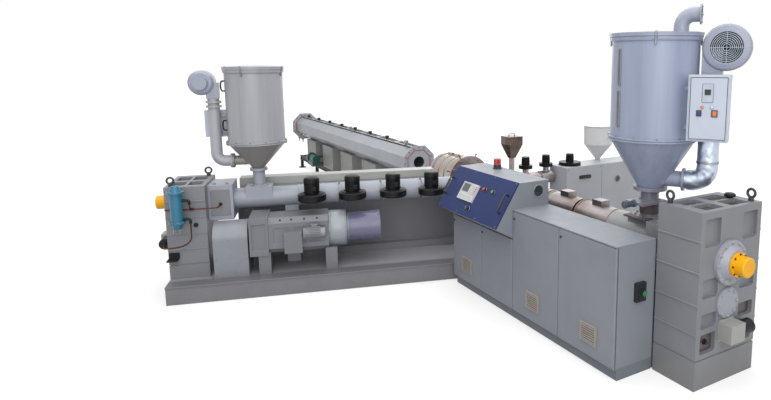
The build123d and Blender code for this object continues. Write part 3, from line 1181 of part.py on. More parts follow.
# Push buttons on collars and bow grips on the panel
with BuildPart() as console_controls:
    for right, up in BUTTON_SHARES:
        turned(SLOPE, (right * panel_length, up * panel_rise, PANEL_THICK), (0, 0, 1),
               [(0, 0), (0, BUTTON_COLLAR), (BUTTON_COLLAR_REACH, BUTTON_COLLAR),
                (BUTTON_COLLAR_REACH, BUTTON_RADIUS),
                (BUTTON_REACH, BUTTON_RADIUS), (BUTTON_REACH, 0)])
    for share in GRIP_SHARES:
        here = share * panel_length
        bent_pipe(SLOPE, ((here, -GRIP_LENGTH / 2, PANEL_THICK),
                          (here, -GRIP_LENGTH / 2, PANEL_THICK + GRIP_REACH),
                          (here, GRIP_LENGTH / 2, PANEL_THICK + GRIP_REACH),
                          (here, GRIP_LENGTH / 2, PANEL_THICK)),
                  GRIP_BEND, GRIP_BAR)
finish(console_controls, "console_controls")

# Signal lamp on the console head: a stepped base and its lens
with BuildPart() as console_beacon:
    base_rise = BEACON_BASE_SHARE * BEACON_HEIGHT
    turned(MAIN, (CABINET_FAR - BEACON_AT, CABINET_BACK + BEACON_SET_BACK, HEAD_TOP), (0, 0, 1),
           [(0, 0), (0, BEACON_RADIUS), (base_rise, BEACON_RADIUS),
            (base_rise, BEACON_RADIUS - BEACON_STEP),
            (BEACON_HEIGHT - BEACON_STEP, BEACON_RADIUS - BEACON_STEP),
            (BEACON_HEIGHT, BEACON_RADIUS - 2 * BEACON_STEP),
            (BEACON_HEIGHT, 0)])
finish(console_beacon, "console_beacon")

# Main switch on the cabinet's near end: body, face plate and knob
with BuildPart() as cabinet_switch:
    middle = CABINET_BACK + SWITCH_SET_BACK
    plate = SWITCH_PLATE_SHARE / 2
    block(MAIN, (CABINET_NEAR - SWITCH_REACH, middle - SWITCH_WIDTH / 2, SWITCH_AT - SWITCH_RISE / 2),
          (CABINET_NEAR, middle + SWITCH_WIDTH / 2, SWITCH_AT + SWITCH_RISE / 2))
    block(MAIN, (CABINET_NEAR - SWITCH_REACH - SWITCH_PLATE_REACH, middle - plate * SWITCH_WIDTH,
                 SWITCH_AT - plate * SWITCH_RISE),
          (CABINET_NEAR - SWITCH_REACH, middle + plate * SWITCH_WIDTH, SWITCH_AT + plate * SWITCH_RISE))
    rod(MAIN, (CABINET_NEAR - SWITCH_REACH, middle, SWITCH_AT), (-1, 0, 0), SWITCH_KNOB,
        SWITCH_PLATE_REACH + SWITCH_KNOB_REACH)
finish(cabinet_switch, "cabinet_switch")

# Die head: adapter plate, feed block with side inlets, neck, spiral body between its flanges, nozzle
with BuildPart() as die_head:
    nozzle = DIE_BODY_END + DIE_FRONT_THICK
    tip = nozzle + DIE_NOZZLE_LENGTH
    turned(MAIN, (0, 0, AXIS_HEIGHT), (1, 0, 0),
           [(BARREL_FRONT, 0), (BARREL_FRONT, DIE_ADAPTER_RADIUS),
            (BARREL_FRONT + DIE_PLATE, DIE_ADAPTER_RADIUS),
            (BARREL_FRONT + DIE_PLATE, DIE_THROAT_RADIUS), (-DIE_BLOCK_HALF, DIE_THROAT_RADIUS),
            (-DIE_BLOCK_HALF, DIE_BLOCK_RADIUS), (DIE_BLOCK_HALF, DIE_BLOCK_RADIUS),
            (DIE_BLOCK_HALF, DIE_NECK_RADIUS),
            (DIE_BODY_START, DIE_NECK_RADIUS), (DIE_BODY_START, DIE_RIM_RADIUS),
            (DIE_BODY_START + DIE_RIM_THICK, DIE_RIM_RADIUS),
            (DIE_BODY_START + DIE_RIM_THICK, DIE_BODY_RADIUS),
            (DIE_BODY_END, DIE_BODY_RADIUS), (DIE_BODY_END, DIE_FRONT_RADIUS), (nozzle, DIE_FRONT_RADIUS),
            (nozzle, DIE_NOZZLE_RADIUS), (tip, DIE_NOZZLE_RADIUS), (tip, DIE_BORE_RADIUS),
            (tip - DIE_BORE_DEPTH, DIE_BORE_RADIUS), (tip - DIE_BORE_DEPTH, 0)])
    for frame in (SIDE, STRIPE):
        rod(frame, (-BARREL_GAP, 0, AXIS_HEIGHT), (1, 0, 0), DIE_THROAT_RADIUS, BARREL_GAP)
    rod(SIDE, (-BARREL_GAP, 0, AXIS_HEIGHT), (1, 0, 0), DIE_ADAPTER_RADIUS, DIE_PLATE)
finish(die_head, "die_head")

# Die stand: one foot plate with a column under the feed block and one under the body
with BuildPart() as die_stand:
    body_middle = (DIE_BODY_START + DIE_RIM_THICK + DIE_BODY_END) / 2
    column_half = DIE_COLUMN_SHARE * DIE_STAND_LENGTH / 2
    column_side = DIE_COLUMN_SHARE * DIE_STAND_WIDTH / 2
    block(MAIN, (-DIE_STAND_LENGTH / 2, -DIE_STAND_WIDTH / 2, 0),
          (body_middle + DIE_STAND_LENGTH / 2, DIE_STAND_WIDTH / 2, DIE_FOOT_THICK))
    for station, radius in ((0, DIE_BLOCK_RADIUS), (body_middle, DIE_BODY_RADIUS)):
        block(MAIN, (station - column_half, -column_side, DIE_FOOT_THICK),
              (station + column_half, column_side, AXIS_HEIGHT - radius))
finish(die_stand, "die_stand")


def octagon(station, flats):
    """An eight sided outline across the tank, given the distance between its flats."""
    with BuildSketch(within(MAIN, Plane.YZ.offset(station))) as outline:
        with Locations((0, AXIS_HEIGHT)):
            RegularPolygon(flats / 2, TANK_SIDES, major_radius=False, rotation=180 / TANK_SIDES)
    return outline.sketch


# Vacuum tank shell with a row of lid openings
with BuildPart() as tank_shell:
    extrude(octagon(TANK_START, TANK_FLATS), amount=TANK_LENGTH)
    extrude(octagon(TANK_START - OVERRUN, TANK_FLATS - 2 * TANK_WALL), amount=TANK_LENGTH + 2 * OVERRUN,
            mode=Mode.SUBTRACT)
    for index in range(TANK_LID_COUNT):
        here = TANK_START + index * TANK_LID_PITCH
        block(MAIN, (here + 2 * TANK_LID_EDGE, -TANK_LID_WIDTH / 2 + TANK_LID_EDGE / 2, AXIS_HEIGHT),
              (here + TANK_LID_PITCH - 2 * TANK_LID_EDGE, TANK_LID_WIDTH / 2 - TANK_LID_EDGE / 2,
               AXIS_HEIGHT + TANK_FLATS), Mode.SUBTRACT)
finish(tank_shell, "tank_shell")

# Tank lids with a sunk middle
with BuildPart() as tank_lids:
    lid_low = AXIS_HEIGHT + TANK_FLATS / 2
    lid_top = lid_low + TANK_LID_THICK
    lid_side = TANK_LID_WIDTH / 2
    for index in range(TANK_LID_COUNT):
        lid_start = TANK_START + index * TANK_LID_PITCH + TANK_LID_EDGE / 2
        lid_end = lid_start + TANK_LID_PITCH - TANK_LID_EDGE
        block(MAIN, (lid_start, -lid_side, lid_low), (lid_end, lid_side, lid_top))
        block(MAIN, (lid_start + TANK_LID_RIM, TANK_LID_RIM - lid_side, lid_top - TANK_LID_SINK),
              (lid_end - TANK_LID_RIM, lid_side - TANK_LID_RIM, lid_top + OVERRUN), Mode.SUBTRACT)
finish(tank_lids, "tank_lids")

# Tank end plates with the pipe ports, the far one larger
with BuildPart() as tank_ends:
    for station, rim in ((TANK_START - TANK_END_THICK, TANK_END_RIM), (TANK_END, TANK_FAR_RIM)):
        extrude(octagon(station, TANK_FLATS + 2 * rim), amount=TANK_END_THICK)
        rod(MAIN, (station - OVERRUN, 0, AXIS_HEIGHT), (1, 0, 0), TANK_PORT_RADIUS,
            TANK_END_THICK + 2 * OVERRUN,
            Mode.SUBTRACT)
finish(tank_ends, "tank_ends")

# Closed pedestals between the rails and the tank, with a sunk panel on each side
with BuildPart() as tank_trestles:
    box_side = TANK_BOX_WIDTH / 2
    for index in range(TANK_BOX_COUNT):
        low = TANK_START + TANK_BOX_FIRST + index * TANK_BOX_PITCH - TANK_BOX_LENGTH / 2
        high = low + TANK_BOX_LENGTH
        block(MAIN, (low, -box_side, TANK_RAIL_TOP), (high, box_side, TANK_BOTTOM))
        for inner, outer in ((box_side - TANK_BOX_SINK, box_side + OVERRUN),
                             (-box_side - OVERRUN, TANK_BOX_SINK - box_side)):
            block(MAIN, (low + TANK_BOX_PANEL, inner, TANK_RAIL_TOP + TANK_BOX_PANEL),
                  (high - TANK_BOX_PANEL, outer, TANK_BOTTOM - TANK_BOX_PANEL), Mode.SUBTRACT)
finish(tank_trestles, "tank_trestles")

# Tank rails: two channels tied by cross members, on short legs with foot plates
with BuildPart() as tank_rails:
    rail_low = TANK_RAIL_TOP - TANK_RAIL_RISE
    for side in (-1, 1):
        middle = side * TANK_RAIL_SPREAD
        block(MAIN, (TANK_START, middle - TANK_RAIL_WIDTH / 2, rail_low),
              (TANK_END, middle + TANK_RAIL_WIDTH / 2, TANK_RAIL_TOP))
        web = middle + side * TANK_RAIL_WIDTH / 4
        block(MAIN, (TANK_START - OVERRUN, min(web, web + side * TANK_RAIL_WIDTH),
                     rail_low + TANK_FOOT_THICK),
              (TANK_END + OVERRUN, max(web, web + side * TANK_RAIL_WIDTH), TANK_RAIL_TOP - TANK_FOOT_THICK),
              Mode.SUBTRACT)
    leg_pitch = (TANK_LENGTH - TANK_FOOT) / (TANK_LEG_COUNT - 1)
    for index in range(TANK_LEG_COUNT):
        here = TANK_START + TANK_FOOT / 2 + index * leg_pitch
        block(MAIN, (here - TANK_LEG / 2, -TANK_RAIL_SPREAD, rail_low),
              (here + TANK_LEG / 2, TANK_RAIL_SPREAD, TANK_RAIL_TOP))
        for side in (-1, 1):
            leg = side * TANK_RAIL_SPREAD
            block(MAIN, (here - TANK_LEG / 2, leg - TANK_LEG / 2, 0),
                  (here + TANK_LEG / 2, leg + TANK_LEG / 2, TANK_RAIL_TOP))
            block(MAIN, (here - TANK_FOOT / 2, leg - TANK_FOOT / 2, 0),
                  (here + TANK_FOOT / 2, leg + TANK_FOOT / 2, TANK_FOOT_THICK))
finish(tank_rails, "tank_rails")

# Water pump on a plate beside the rails, with the pipe to the tank's underside
with BuildPart() as tank_pump:
    pump_start = TANK_START + TANK_PUMP_AT
    pump_end = pump_start + TANK_PUMP_LENGTH
    plate_top = TANK_RAIL_TOP + TANK_PUMP_PLATE
    pump_z = plate_top + TANK_PUMP_LIFT
    rod(MAIN, (pump_start, TANK_PUMP_OUT, pump_z), (1, 0, 0), TANK_PUMP_RADIUS, TANK_PUMP_LENGTH)
    rod(MAIN, (pump_end, TANK_PUMP_OUT, pump_z), (1, 0, 0), TANK_PUMP_HEAD, TANK_PUMP_HEAD_LENGTH)
    block(MAIN, (pump_start, TANK_RAIL_SPREAD - TANK_RAIL_WIDTH / 2, TANK_RAIL_TOP),
          (pump_end + TANK_PUMP_HEAD_LENGTH, TANK_PUMP_OUT + TANK_PUMP_RADIUS, plate_top))
    block(MAIN, (pump_start, TANK_PUMP_OUT - TANK_PUMP_RADIUS, plate_top),
          (pump_end, TANK_PUMP_OUT + TANK_PUMP_RADIUS, pump_z - TANK_PUMP_RADIUS / 2))
    pipe_x = pump_end + TANK_PUMP_HEAD_LENGTH / 2
    bent_pipe(MAIN, ((pipe_x, TANK_PUMP_OUT, pump_z), (pipe_x, 0, pump_z), (pipe_x, 0, TANK_BOTTOM)),
              TANK_PUMP_BEND, TANK_PUMP_PIPE)
finish(tank_pump, "tank_pump")

# Stripe extruder housing on its plinth, with the seam of its front doors and the hopper's seat
with BuildPart() as stripe_cabinet:
    block(Plane.XY, (STRIPE_NEAR, STRIPE_FRONT, PLINTH_HEIGHT), (STRIPE_FAR, STRIPE_BACK, STRIPE_HEIGHT))
    block(Plane.XY, (STRIPE_NEAR + PLINTH_SET_BACK, STRIPE_FRONT + PLINTH_SET_BACK, 0),
          (STRIPE_FAR - PLINTH_SET_BACK, STRIPE_BACK - PLINTH_SET_BACK, PLINTH_HEIGHT))
    seam = STRIPE_NEAR + STRIPE_DOOR_SEAM
    block(Plane.XY, (seam, STRIPE_FRONT - OVERRUN, PLINTH_HEIGHT),
          (seam + STRIPE_SEAM_WIDTH, STRIPE_FRONT + STRIPE_SEAM_DEPTH, STRIPE_HEIGHT + OVERRUN),
          Mode.SUBTRACT)
    rod(Plane.XY, (STRIPE_HOPPER_X, 0, STRIPE_HEIGHT), (0, 0, 1), STRIPE_HOPPER_NECK, STRIPE_HOPPER_SEAT)
finish(stripe_cabinet, "stripe_cabinet")

STRIPE_RUN = STRIPE_NEAR - BARREL_GAP
STRIPE_BLOWER_LOW = AXIS_HEIGHT + STRIPE_BAND_RADIUS + STRIPE_BLOWER_LIFT

# Stripe barrel with heater bands, the necks of its blowers and the neck of the steel hopper
with BuildPart() as stripe_barrel:
    rod(STRIPE, (-STRIPE_NEAR, 0, AXIS_HEIGHT), (1, 0, 0), STRIPE_BARREL_RADIUS, STRIPE_RUN)
    band_pitch = STRIPE_RUN / STRIPE_BAND_COUNT
    for index in range(STRIPE_BAND_COUNT):
        rod(STRIPE, (-STRIPE_NEAR + (index + STRIPE_BAND_GAP_SHARE) * band_pitch, 0, AXIS_HEIGHT),
            (1, 0, 0),
            STRIPE_BAND_RADIUS, band_pitch * (1 - 2 * STRIPE_BAND_GAP_SHARE))
    for share in STRIPE_BLOWER_SHARES:
        rod(STRIPE, (-BARREL_GAP - share * STRIPE_RUN, 0, AXIS_HEIGHT), (0, 0, 1), STRIPE_NECK_RADIUS,
            STRIPE_BLOWER_LOW - AXIS_HEIGHT)
    rod(STRIPE, (-STEEL_HOPPER_X, 0, AXIS_HEIGHT), (0, 0, 1), STEEL_HOPPER_MOUTH / 2,
        STEEL_BOTTOM - AXIS_HEIGHT)
finish(stripe_barrel, "stripe_barrel")

# Blowers over the stripe barrel, and one on the housing's top
with BuildPart() as stripe_blowers:
    places = [(BARREL_GAP + share * STRIPE_RUN, 0, STRIPE_BLOWER_LOW, STRIPE_BLOWER_RADIUS)
              for share in STRIPE_BLOWER_SHARES]
    places.append((STRIPE_NEAR + STRIPE_FAN_AT, (STRIPE_FRONT + STRIPE_BACK) / 2, STRIPE_HEIGHT,
                   STRIPE_FAN_RADIUS))
    motor_top = STRIPE_BLOWER_RISE + STRIPE_MOTOR_RISE
    for x, y, z, radius in places:
        turned(Plane.XY, (x, y, z), (0, 0, 1),
               [(0, 0), (0, radius), (STRIPE_BLOWER_RISE, radius),
                (STRIPE_BLOWER_RISE, STRIPE_MOTOR_RADIUS),
                (motor_top, STRIPE_MOTOR_RADIUS), (motor_top, 0)])
finish(stripe_blowers, "stripe_blowers")

# White hopper of the stripe extruder and its lid
with BuildPart() as stripe_hopper:
    rise = STRIPE_CONE_RISE + STRIPE_HOPPER_RISE
    turned(Plane.XY, (STRIPE_HOPPER_X, 0, STRIPE_SEAT), (0, 0, 1),
           [(0, STRIPE_HOPPER_NECK - DRYER_WALL), (0, STRIPE_HOPPER_NECK),
            (STRIPE_CONE_RISE, STRIPE_HOPPER_RADIUS),
            (rise, STRIPE_HOPPER_RADIUS), (rise, STRIPE_HOPPER_RADIUS - DRYER_WALL),
            (STRIPE_CONE_RISE, STRIPE_HOPPER_RADIUS - DRYER_WALL)])
finish(stripe_hopper, "stripe_hopper")

with BuildPart() as stripe_hopper_lid:
    lid_radius = STRIPE_HOPPER_RADIUS + DRYER_WALL
    turned(Plane.XY, (STRIPE_HOPPER_X, 0, STRIPE_HOPPER_TOP), (0, 0, 1),
           [(0, 0), (0, lid_radius), (STRIPE_LID_EDGE, lid_radius),
            (STRIPE_LID_CROWN, DRYER_LID_CROWN_SHARE * STRIPE_HOPPER_RADIUS), (STRIPE_LID_CROWN, 0)])
finish(stripe_hopper_lid, "stripe_hopper_lid")

# Square steel hopper, a folded shell, and its lid with a bow grip
with BuildPart() as steel_hopper:
    for inset, mode in ((0, Mode.ADD), (STEEL_HOPPER_WALL, Mode.SUBTRACT)):
        faces = []
        for level, width in ((STEEL_BOTTOM, STEEL_HOPPER_MOUTH),
                             (STEEL_BOTTOM + STEEL_CONE_RISE, STEEL_HOPPER_WIDTH)):
            with BuildSketch(Plane((STEEL_HOPPER_X, 0, level))) as square:
                Rectangle(width - 2 * inset, width - 2 * inset)
            faces.append(square.sketch)
        loft(faces, mode=mode)
        extrude(faces[1], amount=STEEL_HOPPER_RISE, mode=mode)
finish(steel_hopper, "steel_hopper")

with BuildPart() as steel_hopper_lid:
    lid_half = STEEL_HOPPER_WIDTH / 2 + STEEL_HOPPER_WALL
    lid_face = STEEL_TOP + STEEL_HOPPER_WALL
    grip = STEEL_LID_GRIP / 2
    block(Plane.XY, (STEEL_HOPPER_X - lid_half, -lid_half, STEEL_TOP),
          (STEEL_HOPPER_X + lid_half, lid_half, lid_face))
    bent_pipe(Plane.XY, ((STEEL_HOPPER_X - grip, 0, lid_face),
                         (STEEL_HOPPER_X - grip, 0, lid_face + STEEL_GRIP_REACH),
                         (STEEL_HOPPER_X + grip, 0, lid_face + STEEL_GRIP_REACH),
                         (STEEL_HOPPER_X + grip, 0, lid_face)),
              STEEL_GRIP_BEND, STEEL_GRIP_BAR)
finish(steel_hopper_lid, "steel_hopper_lid")
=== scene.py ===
"""Looks of the co-extrusion pipe line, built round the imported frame. Lengths are in metres, z is up."""
import math

import bmesh
import bpy
import numpy as np
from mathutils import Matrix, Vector


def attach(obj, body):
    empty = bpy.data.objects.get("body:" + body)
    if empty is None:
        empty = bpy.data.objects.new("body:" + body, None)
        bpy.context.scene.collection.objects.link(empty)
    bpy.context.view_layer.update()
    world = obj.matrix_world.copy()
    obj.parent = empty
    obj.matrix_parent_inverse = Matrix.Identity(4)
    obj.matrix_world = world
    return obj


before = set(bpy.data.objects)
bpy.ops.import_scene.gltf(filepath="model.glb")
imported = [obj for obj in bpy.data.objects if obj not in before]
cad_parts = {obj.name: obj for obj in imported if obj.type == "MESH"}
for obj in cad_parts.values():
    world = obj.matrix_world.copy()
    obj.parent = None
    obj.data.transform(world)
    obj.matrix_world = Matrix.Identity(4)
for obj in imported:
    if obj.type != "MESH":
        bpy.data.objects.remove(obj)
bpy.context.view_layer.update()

# Base frames and the wall housing behind the side motor.
# Welded channel and folded sheet, sprayed with a mid grey machine enamel that has gone dull near the floor.
# The wall's panels are held by rows of plated pan head screws; folded covers close the frame's inner end.
RIGHT, AHEAD, UP = np.eye(3)
NOISE_SPAN = {"From Min": 0.3, "From Max": 0.7}
DECK_EDGE = {"From Min": -0.46, "From Max": -0.40}


def axes(x, y, right_x, right_y):
    """A machine's own axes: its origin on the floor, the way to its right and the way to its back."""
    return np.array([x, y, 0.0]), np.array([right_x, right_y, 0.0]), np.array([-right_y, right_x, 0.0])


side_stand = axes(0.0, 0.0, 0.9558, -0.2940)
side_right, side_back = side_stand[1:]
side_out, side_front = -side_right, -side_back


def linear(code):
    """An sRGB hex colour as linear RGBA."""
    parts = np.array([int(code[k:k + 2], 16) for k in (1, 3, 5)]) / 255
    parts = np.where(parts <= 0.04045, parts / 12.92, ((parts + 0.055) / 1.055) ** 2.4)
    return (*parts.tolist(), 1.0)


def fill(node, inputs):
    """Gives each named input of a node its value or its link."""
    for key, value in inputs.items():
        if isinstance(value, bpy.types.NodeSocket):
            node.id_data.links.new(value, node.inputs[key])
        else:
            node.inputs[key].default_value = value


def add(tree, kind, inputs=None, out=None, **settings):
    """Adds one node with its settings and inputs; returns the output named, or else the first one in use."""
    made = tree.nodes.new("ShaderNode" + kind)
    for key, value in settings.items():
        setattr(made, key, value)
    fill(made, inputs or {})
    return made.outputs[out] if out else next(socket for socket in made.outputs if socket.enabled)


def bare_material(name):
    """An empty material with its tree, its shader and its object coordinates."""
    material = bpy.data.materials.new(name)
    material.use_nodes = True
    tree = material.node_tree
    return material, tree, tree.nodes["Principled BSDF"], add(tree, "TexCoord", out="Object")


def sprayed_enamel(name, colour, wear_and_highlight_edge, dust="#77736e", roughness=0.3, peel_mm=9.0, dust_rise=0.35,
                   dust_share=0.75, deck=None, second=None, gloss=0.5, patchy=1.0, reflection_streaks=False):
    """Sprayed machine enamel: clouded colour, orange peel, paler edges (partly wear, partly painted
    highlight) and dust towards the floor.

    A deck's top is darker along its front edge and paler behind, in the two colours given; the paler back is
    painted light, where parts above the deck shade it. A second colour starts at a height, upwards or
    downwards.
    Patchy says how uneven the shine is. Reflection streaks are stronger upright streaks in place of clouds:
    painted reflection bands. Orange peel is really about 2 mm wide; it is drawn coarser so that it shows.
    """
    material, tree, shader, place = bare_material(name)
    # Reflection streaks stretch the clouds upright with more contrast: painted reflection bands.
    cloud_size, upright, dark, pale = (0.16, 0.05, 0.87, 1.13) if reflection_streaks else (0.55, 1.0, 0.93, 1.06)
    grain = add(tree, "Mapping", {"Vector": place, "Scale": (1, 1, upright)})
    cloud = add(tree, "TexNoise", {"Vector": grain, "Scale": 1 / cloud_size, "Detail": 4.0, "Roughness": 0.6})
    tone = add(tree, "MapRange", {"Value": cloud, **NOISE_SPAN, "To Min": dark, "To Max": pale})
    coat = add(tree, "Mix", {0: 1.0, 6: linear(colour), 7: tone}, data_type="RGBA", blend_type="MULTIPLY")
    height = add(tree, "SeparateXYZ", {"Vector": place}, out="Z")
    if second:
        start, upper, other = second
        share = add(tree, "MapRange", {"Value": height, "From Min": start - 0.001, "From Max": start + 0.001,
                                       "To Min": float(not upper), "To Max": float(upper)})
        coat = add(tree, "Mix", {0: share, 6: coat, 7: linear(other)}, data_type="RGBA")
    # Paler rounded edges: partly wear, partly a painted highlight along the edges.
    round_edge = add(tree, "Bevel", {"Radius": 0.006}, samples=4)
    face = add(tree, "NewGeometry", out="Normal")
    edge = add(tree, "VectorMath", {0: round_edge, 1: face}, operation="DOT_PRODUCT")
    rubbed = add(tree, "MapRange", {"Value": edge, "From Min": 0.985, "From Max": 0.88})
    chips = add(tree, "TexNoise", {"Vector": place, "Scale": 1 / 0.06, "Detail": 5.0})
    edge_wear_and_highlight_share = add(tree, "Math", {0: rubbed, 1: chips}, operation="MULTIPLY")
    coat = add(tree, "Mix", {0: edge_wear_and_highlight_share, 6: coat, 7: linear(wear_and_highlight_edge)}, data_type="RGBA")
    low = add(tree, "MapRange", {"Value": height, "From Min": dust_rise, "From Max": 0.0,
                                 "To Max": dust_share})
    smear = add(tree, "TexNoise", {"Vector": place, "Scale": 1 / 0.16, "Detail": 6.0, "Roughness": 0.7})
    dusty = add(tree, "Math", {0: low, 1: smear}, operation="MULTIPLY")
    coat = add(tree, "Mix", {0: dusty, 6: coat, 7: linear(dust)}, data_type="RGBA")
    # Deck top: paler behind its front edge, painted light where the parts above shade the deck; darker along
    # the front edge.
    if deck:
        level = add(tree, "SeparateXYZ", {"Vector": face}, out="Z")
        top = add(tree, "MapRange", {"Value": level, "From Min": 0.8, "From Max": 1.0, "To Max": 0.9})
        inwards = add(tree, "VectorMath", {0: place, 1: side_back.tolist()}, operation="DOT_PRODUCT")
        painted_light_share = add(tree, "MapRange", {"Value": inwards, **DECK_EDGE})
        film = add(tree, "Mix", {0: painted_light_share, 6: linear(deck[0]), 7: linear(deck[1])}, data_type="RGBA")
        coat = add(tree, "Mix", {0: top, 6: coat, 7: film}, data_type="RGBA")
    matt = add(tree, "MapRange", {"Value": smear, **NOISE_SPAN, "To Min": roughness - 0.06 * patchy,
                                  "To Max": roughness + 0.1 * patchy})
    peel = add(tree, "TexNoise", {"Vector": place, "Scale": 1000 / peel_mm, "Detail": 2.0})
    skin = add(tree, "Bump", {"Strength": 0.05, "Distance": 0.002, "Height": peel, "Normal": round_edge})
    fill(shader, {"Base Color": coat, "Roughness": matt, "Normal": skin, "Specular IOR Level": gloss})
    return material


def brushed_steel(name, colour, tint, roughness=0.3, line_mm=6.0, dent=0.06):
    """Brushed sheet steel: fine streaks along one direction, and a faint heat tint in broad clouds.

    The brush lines are really under 1 mm apart; they are drawn wider so that they show.
    """
    stretch = 24.0
    material, tree, shader, place = bare_material(name)
    pulled = add(tree, "Mapping", {"Vector": place, "Scale": (1.0, 1.0, stretch)})
    streak = add(tree, "TexNoise", {"Vector": pulled, "Scale": 1000 / (line_mm * stretch), "Detail": 4.0})
    cloud = add(tree, "TexNoise", {"Vector": place, "Scale": 1 / 0.3, "Detail": 3.0})
    warm = add(tree, "MapRange", {"Value": cloud, "From Min": 0.42, "From Max": 0.68})
    sheet = add(tree, "Mix", {0: warm, 6: linear(colour), 7: linear(tint)}, data_type="RGBA")
    matt = add(tree, "MapRange", {"Value": streak, **NOISE_SPAN, "To Min": roughness - 0.08,
                                  "To Max": roughness + 0.14})
    round_edge = add(tree, "Bevel", {"Radius": 0.003}, samples=4)
    scratch = add(tree, "Bump", {"Strength": dent, "Distance": 0.001, "Height": streak, "Normal": round_edge})
    fill(shader, {"Base Color": sheet, "Roughness": matt, "Normal": scratch, "Metallic": 1.0})
    return material


def dress(material, *nodes):
    """Gives each CAD node its finish."""
    for node in nodes:
        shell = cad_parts[node].data
        shell.materials.clear()
        shell.materials.append(material)


def surface(grid):
    """Points and faces of a grid: each row joins the next, and the last column joins the first."""
    rows, columns = grid.shape[:2]
    index = np.arange(rows * columns).reshape(rows, columns)
    index = np.concatenate([index, index[:, :1]], axis=1)
    corners = (index[:-1, :-1], index[:-1, 1:], index[1:, 1:], index[1:, :-1])
    return grid.reshape(-1, 3), np.stack(corners, axis=-1).reshape(-1, 4)


def unit(lines):
    """Directions brought to length 1."""
    lines = np.asarray(lines, float)
    return lines / np.linalg.norm(lines, axis=-1, keepdims=True)


def turns(count):
    """Even angles round a circle."""
    return np.arange(count) * 2 * np.pi / count


def spokes(along, angle, lean=None):
    """Unit spokes round a line: cos t e1 + sin t e2, with e1 square to the line and the lean, e2 to both."""
    along = unit(along)
    if lean is None:
        lean = RIGHT if abs(along[2]) > 0.9 else UP
    first = unit(np.cross(along, lean))[..., None, :]
    second = np.cross(along[..., None, :], first)
    return np.cos(angle)[:, None] * first + np.sin(angle)[:, None] * second


def lathe(profile, foot=(0, 0, 0), along=UP, sides=20, turn=0.0):
    """A turned piece: P(s, t) = foot + a(s) along + r(s) spoke(t), for the (a, r) points of its profile."""
    profile = np.asarray(profile, float)[..., None, None]
    spoke = spokes(along, turn + turns(sides))
    return surface(np.asarray(foot, float) + profile[:, 0] * unit(along) + profile[:, 1] * spoke)


def copies(skin, places):
    """One skin set down at many places: every point plus every place, with the faces counted on."""
    points, faces = skin
    places = np.asarray(places, float).reshape(-1, 1, 3)
    step = np.arange(len(places))[:, None, None] * len(points)
    return (points + places).reshape(-1, 3), (faces + step).reshape(-1, 4)


def at(stand, x, y, z):
    """Points on a machine's own axes: origin + x right + y back + z up, for numbers or arrays."""
    origin, right, back = stand
    x, y, z = (np.asarray(part, float)[..., None] for part in (x, y, z))
    return origin + x * right + y * back + z * UP


def on_side(x, y, z):
    """Points on the side extruder's own axes."""
    return at(side_stand, x, y, z)


def screws(places, along, head):
    """Pan head screws: a turned low dome with a sunk centre, set down at each place."""
    dome = np.array([(0, 0), (0, 1), (0.35, 0.92), (0.55, 0.6), (0.58, 0.3), (0.3, 0.22), (0.3, 0)])
    return [copies(lathe(dome * head, along=along, sides=12), places)]


def piece(name, skins, material, slot="machine_paint", body="line", crease=0.6):
    """Joins skins to one mesh, merges seams and poles, turns the faces outwards, and fixes it on its body."""
    skips = np.cumsum([0] + [len(points) for points, _ in skins[:-1]])
    mesh = bpy.data.meshes.new(name)
    mesh.from_pydata(np.concatenate([points for points, _ in skins]).tolist(), [],
                     np.concatenate([faces + skip for (_, faces), skip in zip(skins, skips)]).tolist())
    shell = bmesh.new()
    shell.from_mesh(mesh)
    bmesh.ops.remove_doubles(shell, verts=shell.verts, dist=1e-5)
    bmesh.ops.dissolve_degenerate(shell, edges=shell.edges, dist=1e-6)
    bmesh.ops.recalc_face_normals(shell, faces=shell.faces)
    shell.to_mesh(mesh)
    shell.free()
    mesh.shade_smooth()
    mesh.set_sharp_from_angle(angle=crease)
    mesh.materials.append(material)
    made = bpy.data.objects.new(name, mesh)
    bpy.context.collection.objects.link(made)
    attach(made, body)


def outline(width, height, corner, inset, steps=5):
    """A rounded rectangle's points, moved inwards by inset as far as its centre at the most."""
    wide, high = max(width / 2 - inset, 0.0), max(height / 2 - inset, 0.0)
    bend = min(max(corner - inset, 0.0), wide, high)
    angle = (np.arange(4)[:, None] * np.pi / 2 + np.linspace(0, np.pi / 2, steps)).ravel()
    across = np.repeat([1, -1, -1, 1], steps) * (wide - bend) + bend * np.cos(angle)
    upward = np.repeat([1, 1, -1, -1], steps) * (high - bend) + bend * np.sin(angle)
    return np.stack([across, upward], axis=-1)


def panel(centre, right, up, width, height, corner, section):
    """A rounded rectangle carried through a section: P(s, t) = centre + x right + y up + h(s) normal.

    Each (inset, height) point of the section moves the outline inwards and off the surface.
    """
    flat = np.stack([outline(width, height, corner, inset) for inset, _ in section])
    rise = np.array([off for _, off in section])[:, None, None]
    return surface(np.asarray(centre, float) + flat[..., :1] * right + flat[..., 1:] * up
                   + rise * np.cross(right, up))


def plate(centre, right, up, width, height, thick, corner=0.004, edge=0.0015, sink=0.002):
    """A flat plate with rounded corners and a broken front edge, sunk a little into what it sits on."""
    full = max(width, height)
    return panel(centre, right, up, width, height, corner,
                 [(full, -sink), (0, -sink), (0, thick - edge), (edge, thick), (full, thick)])


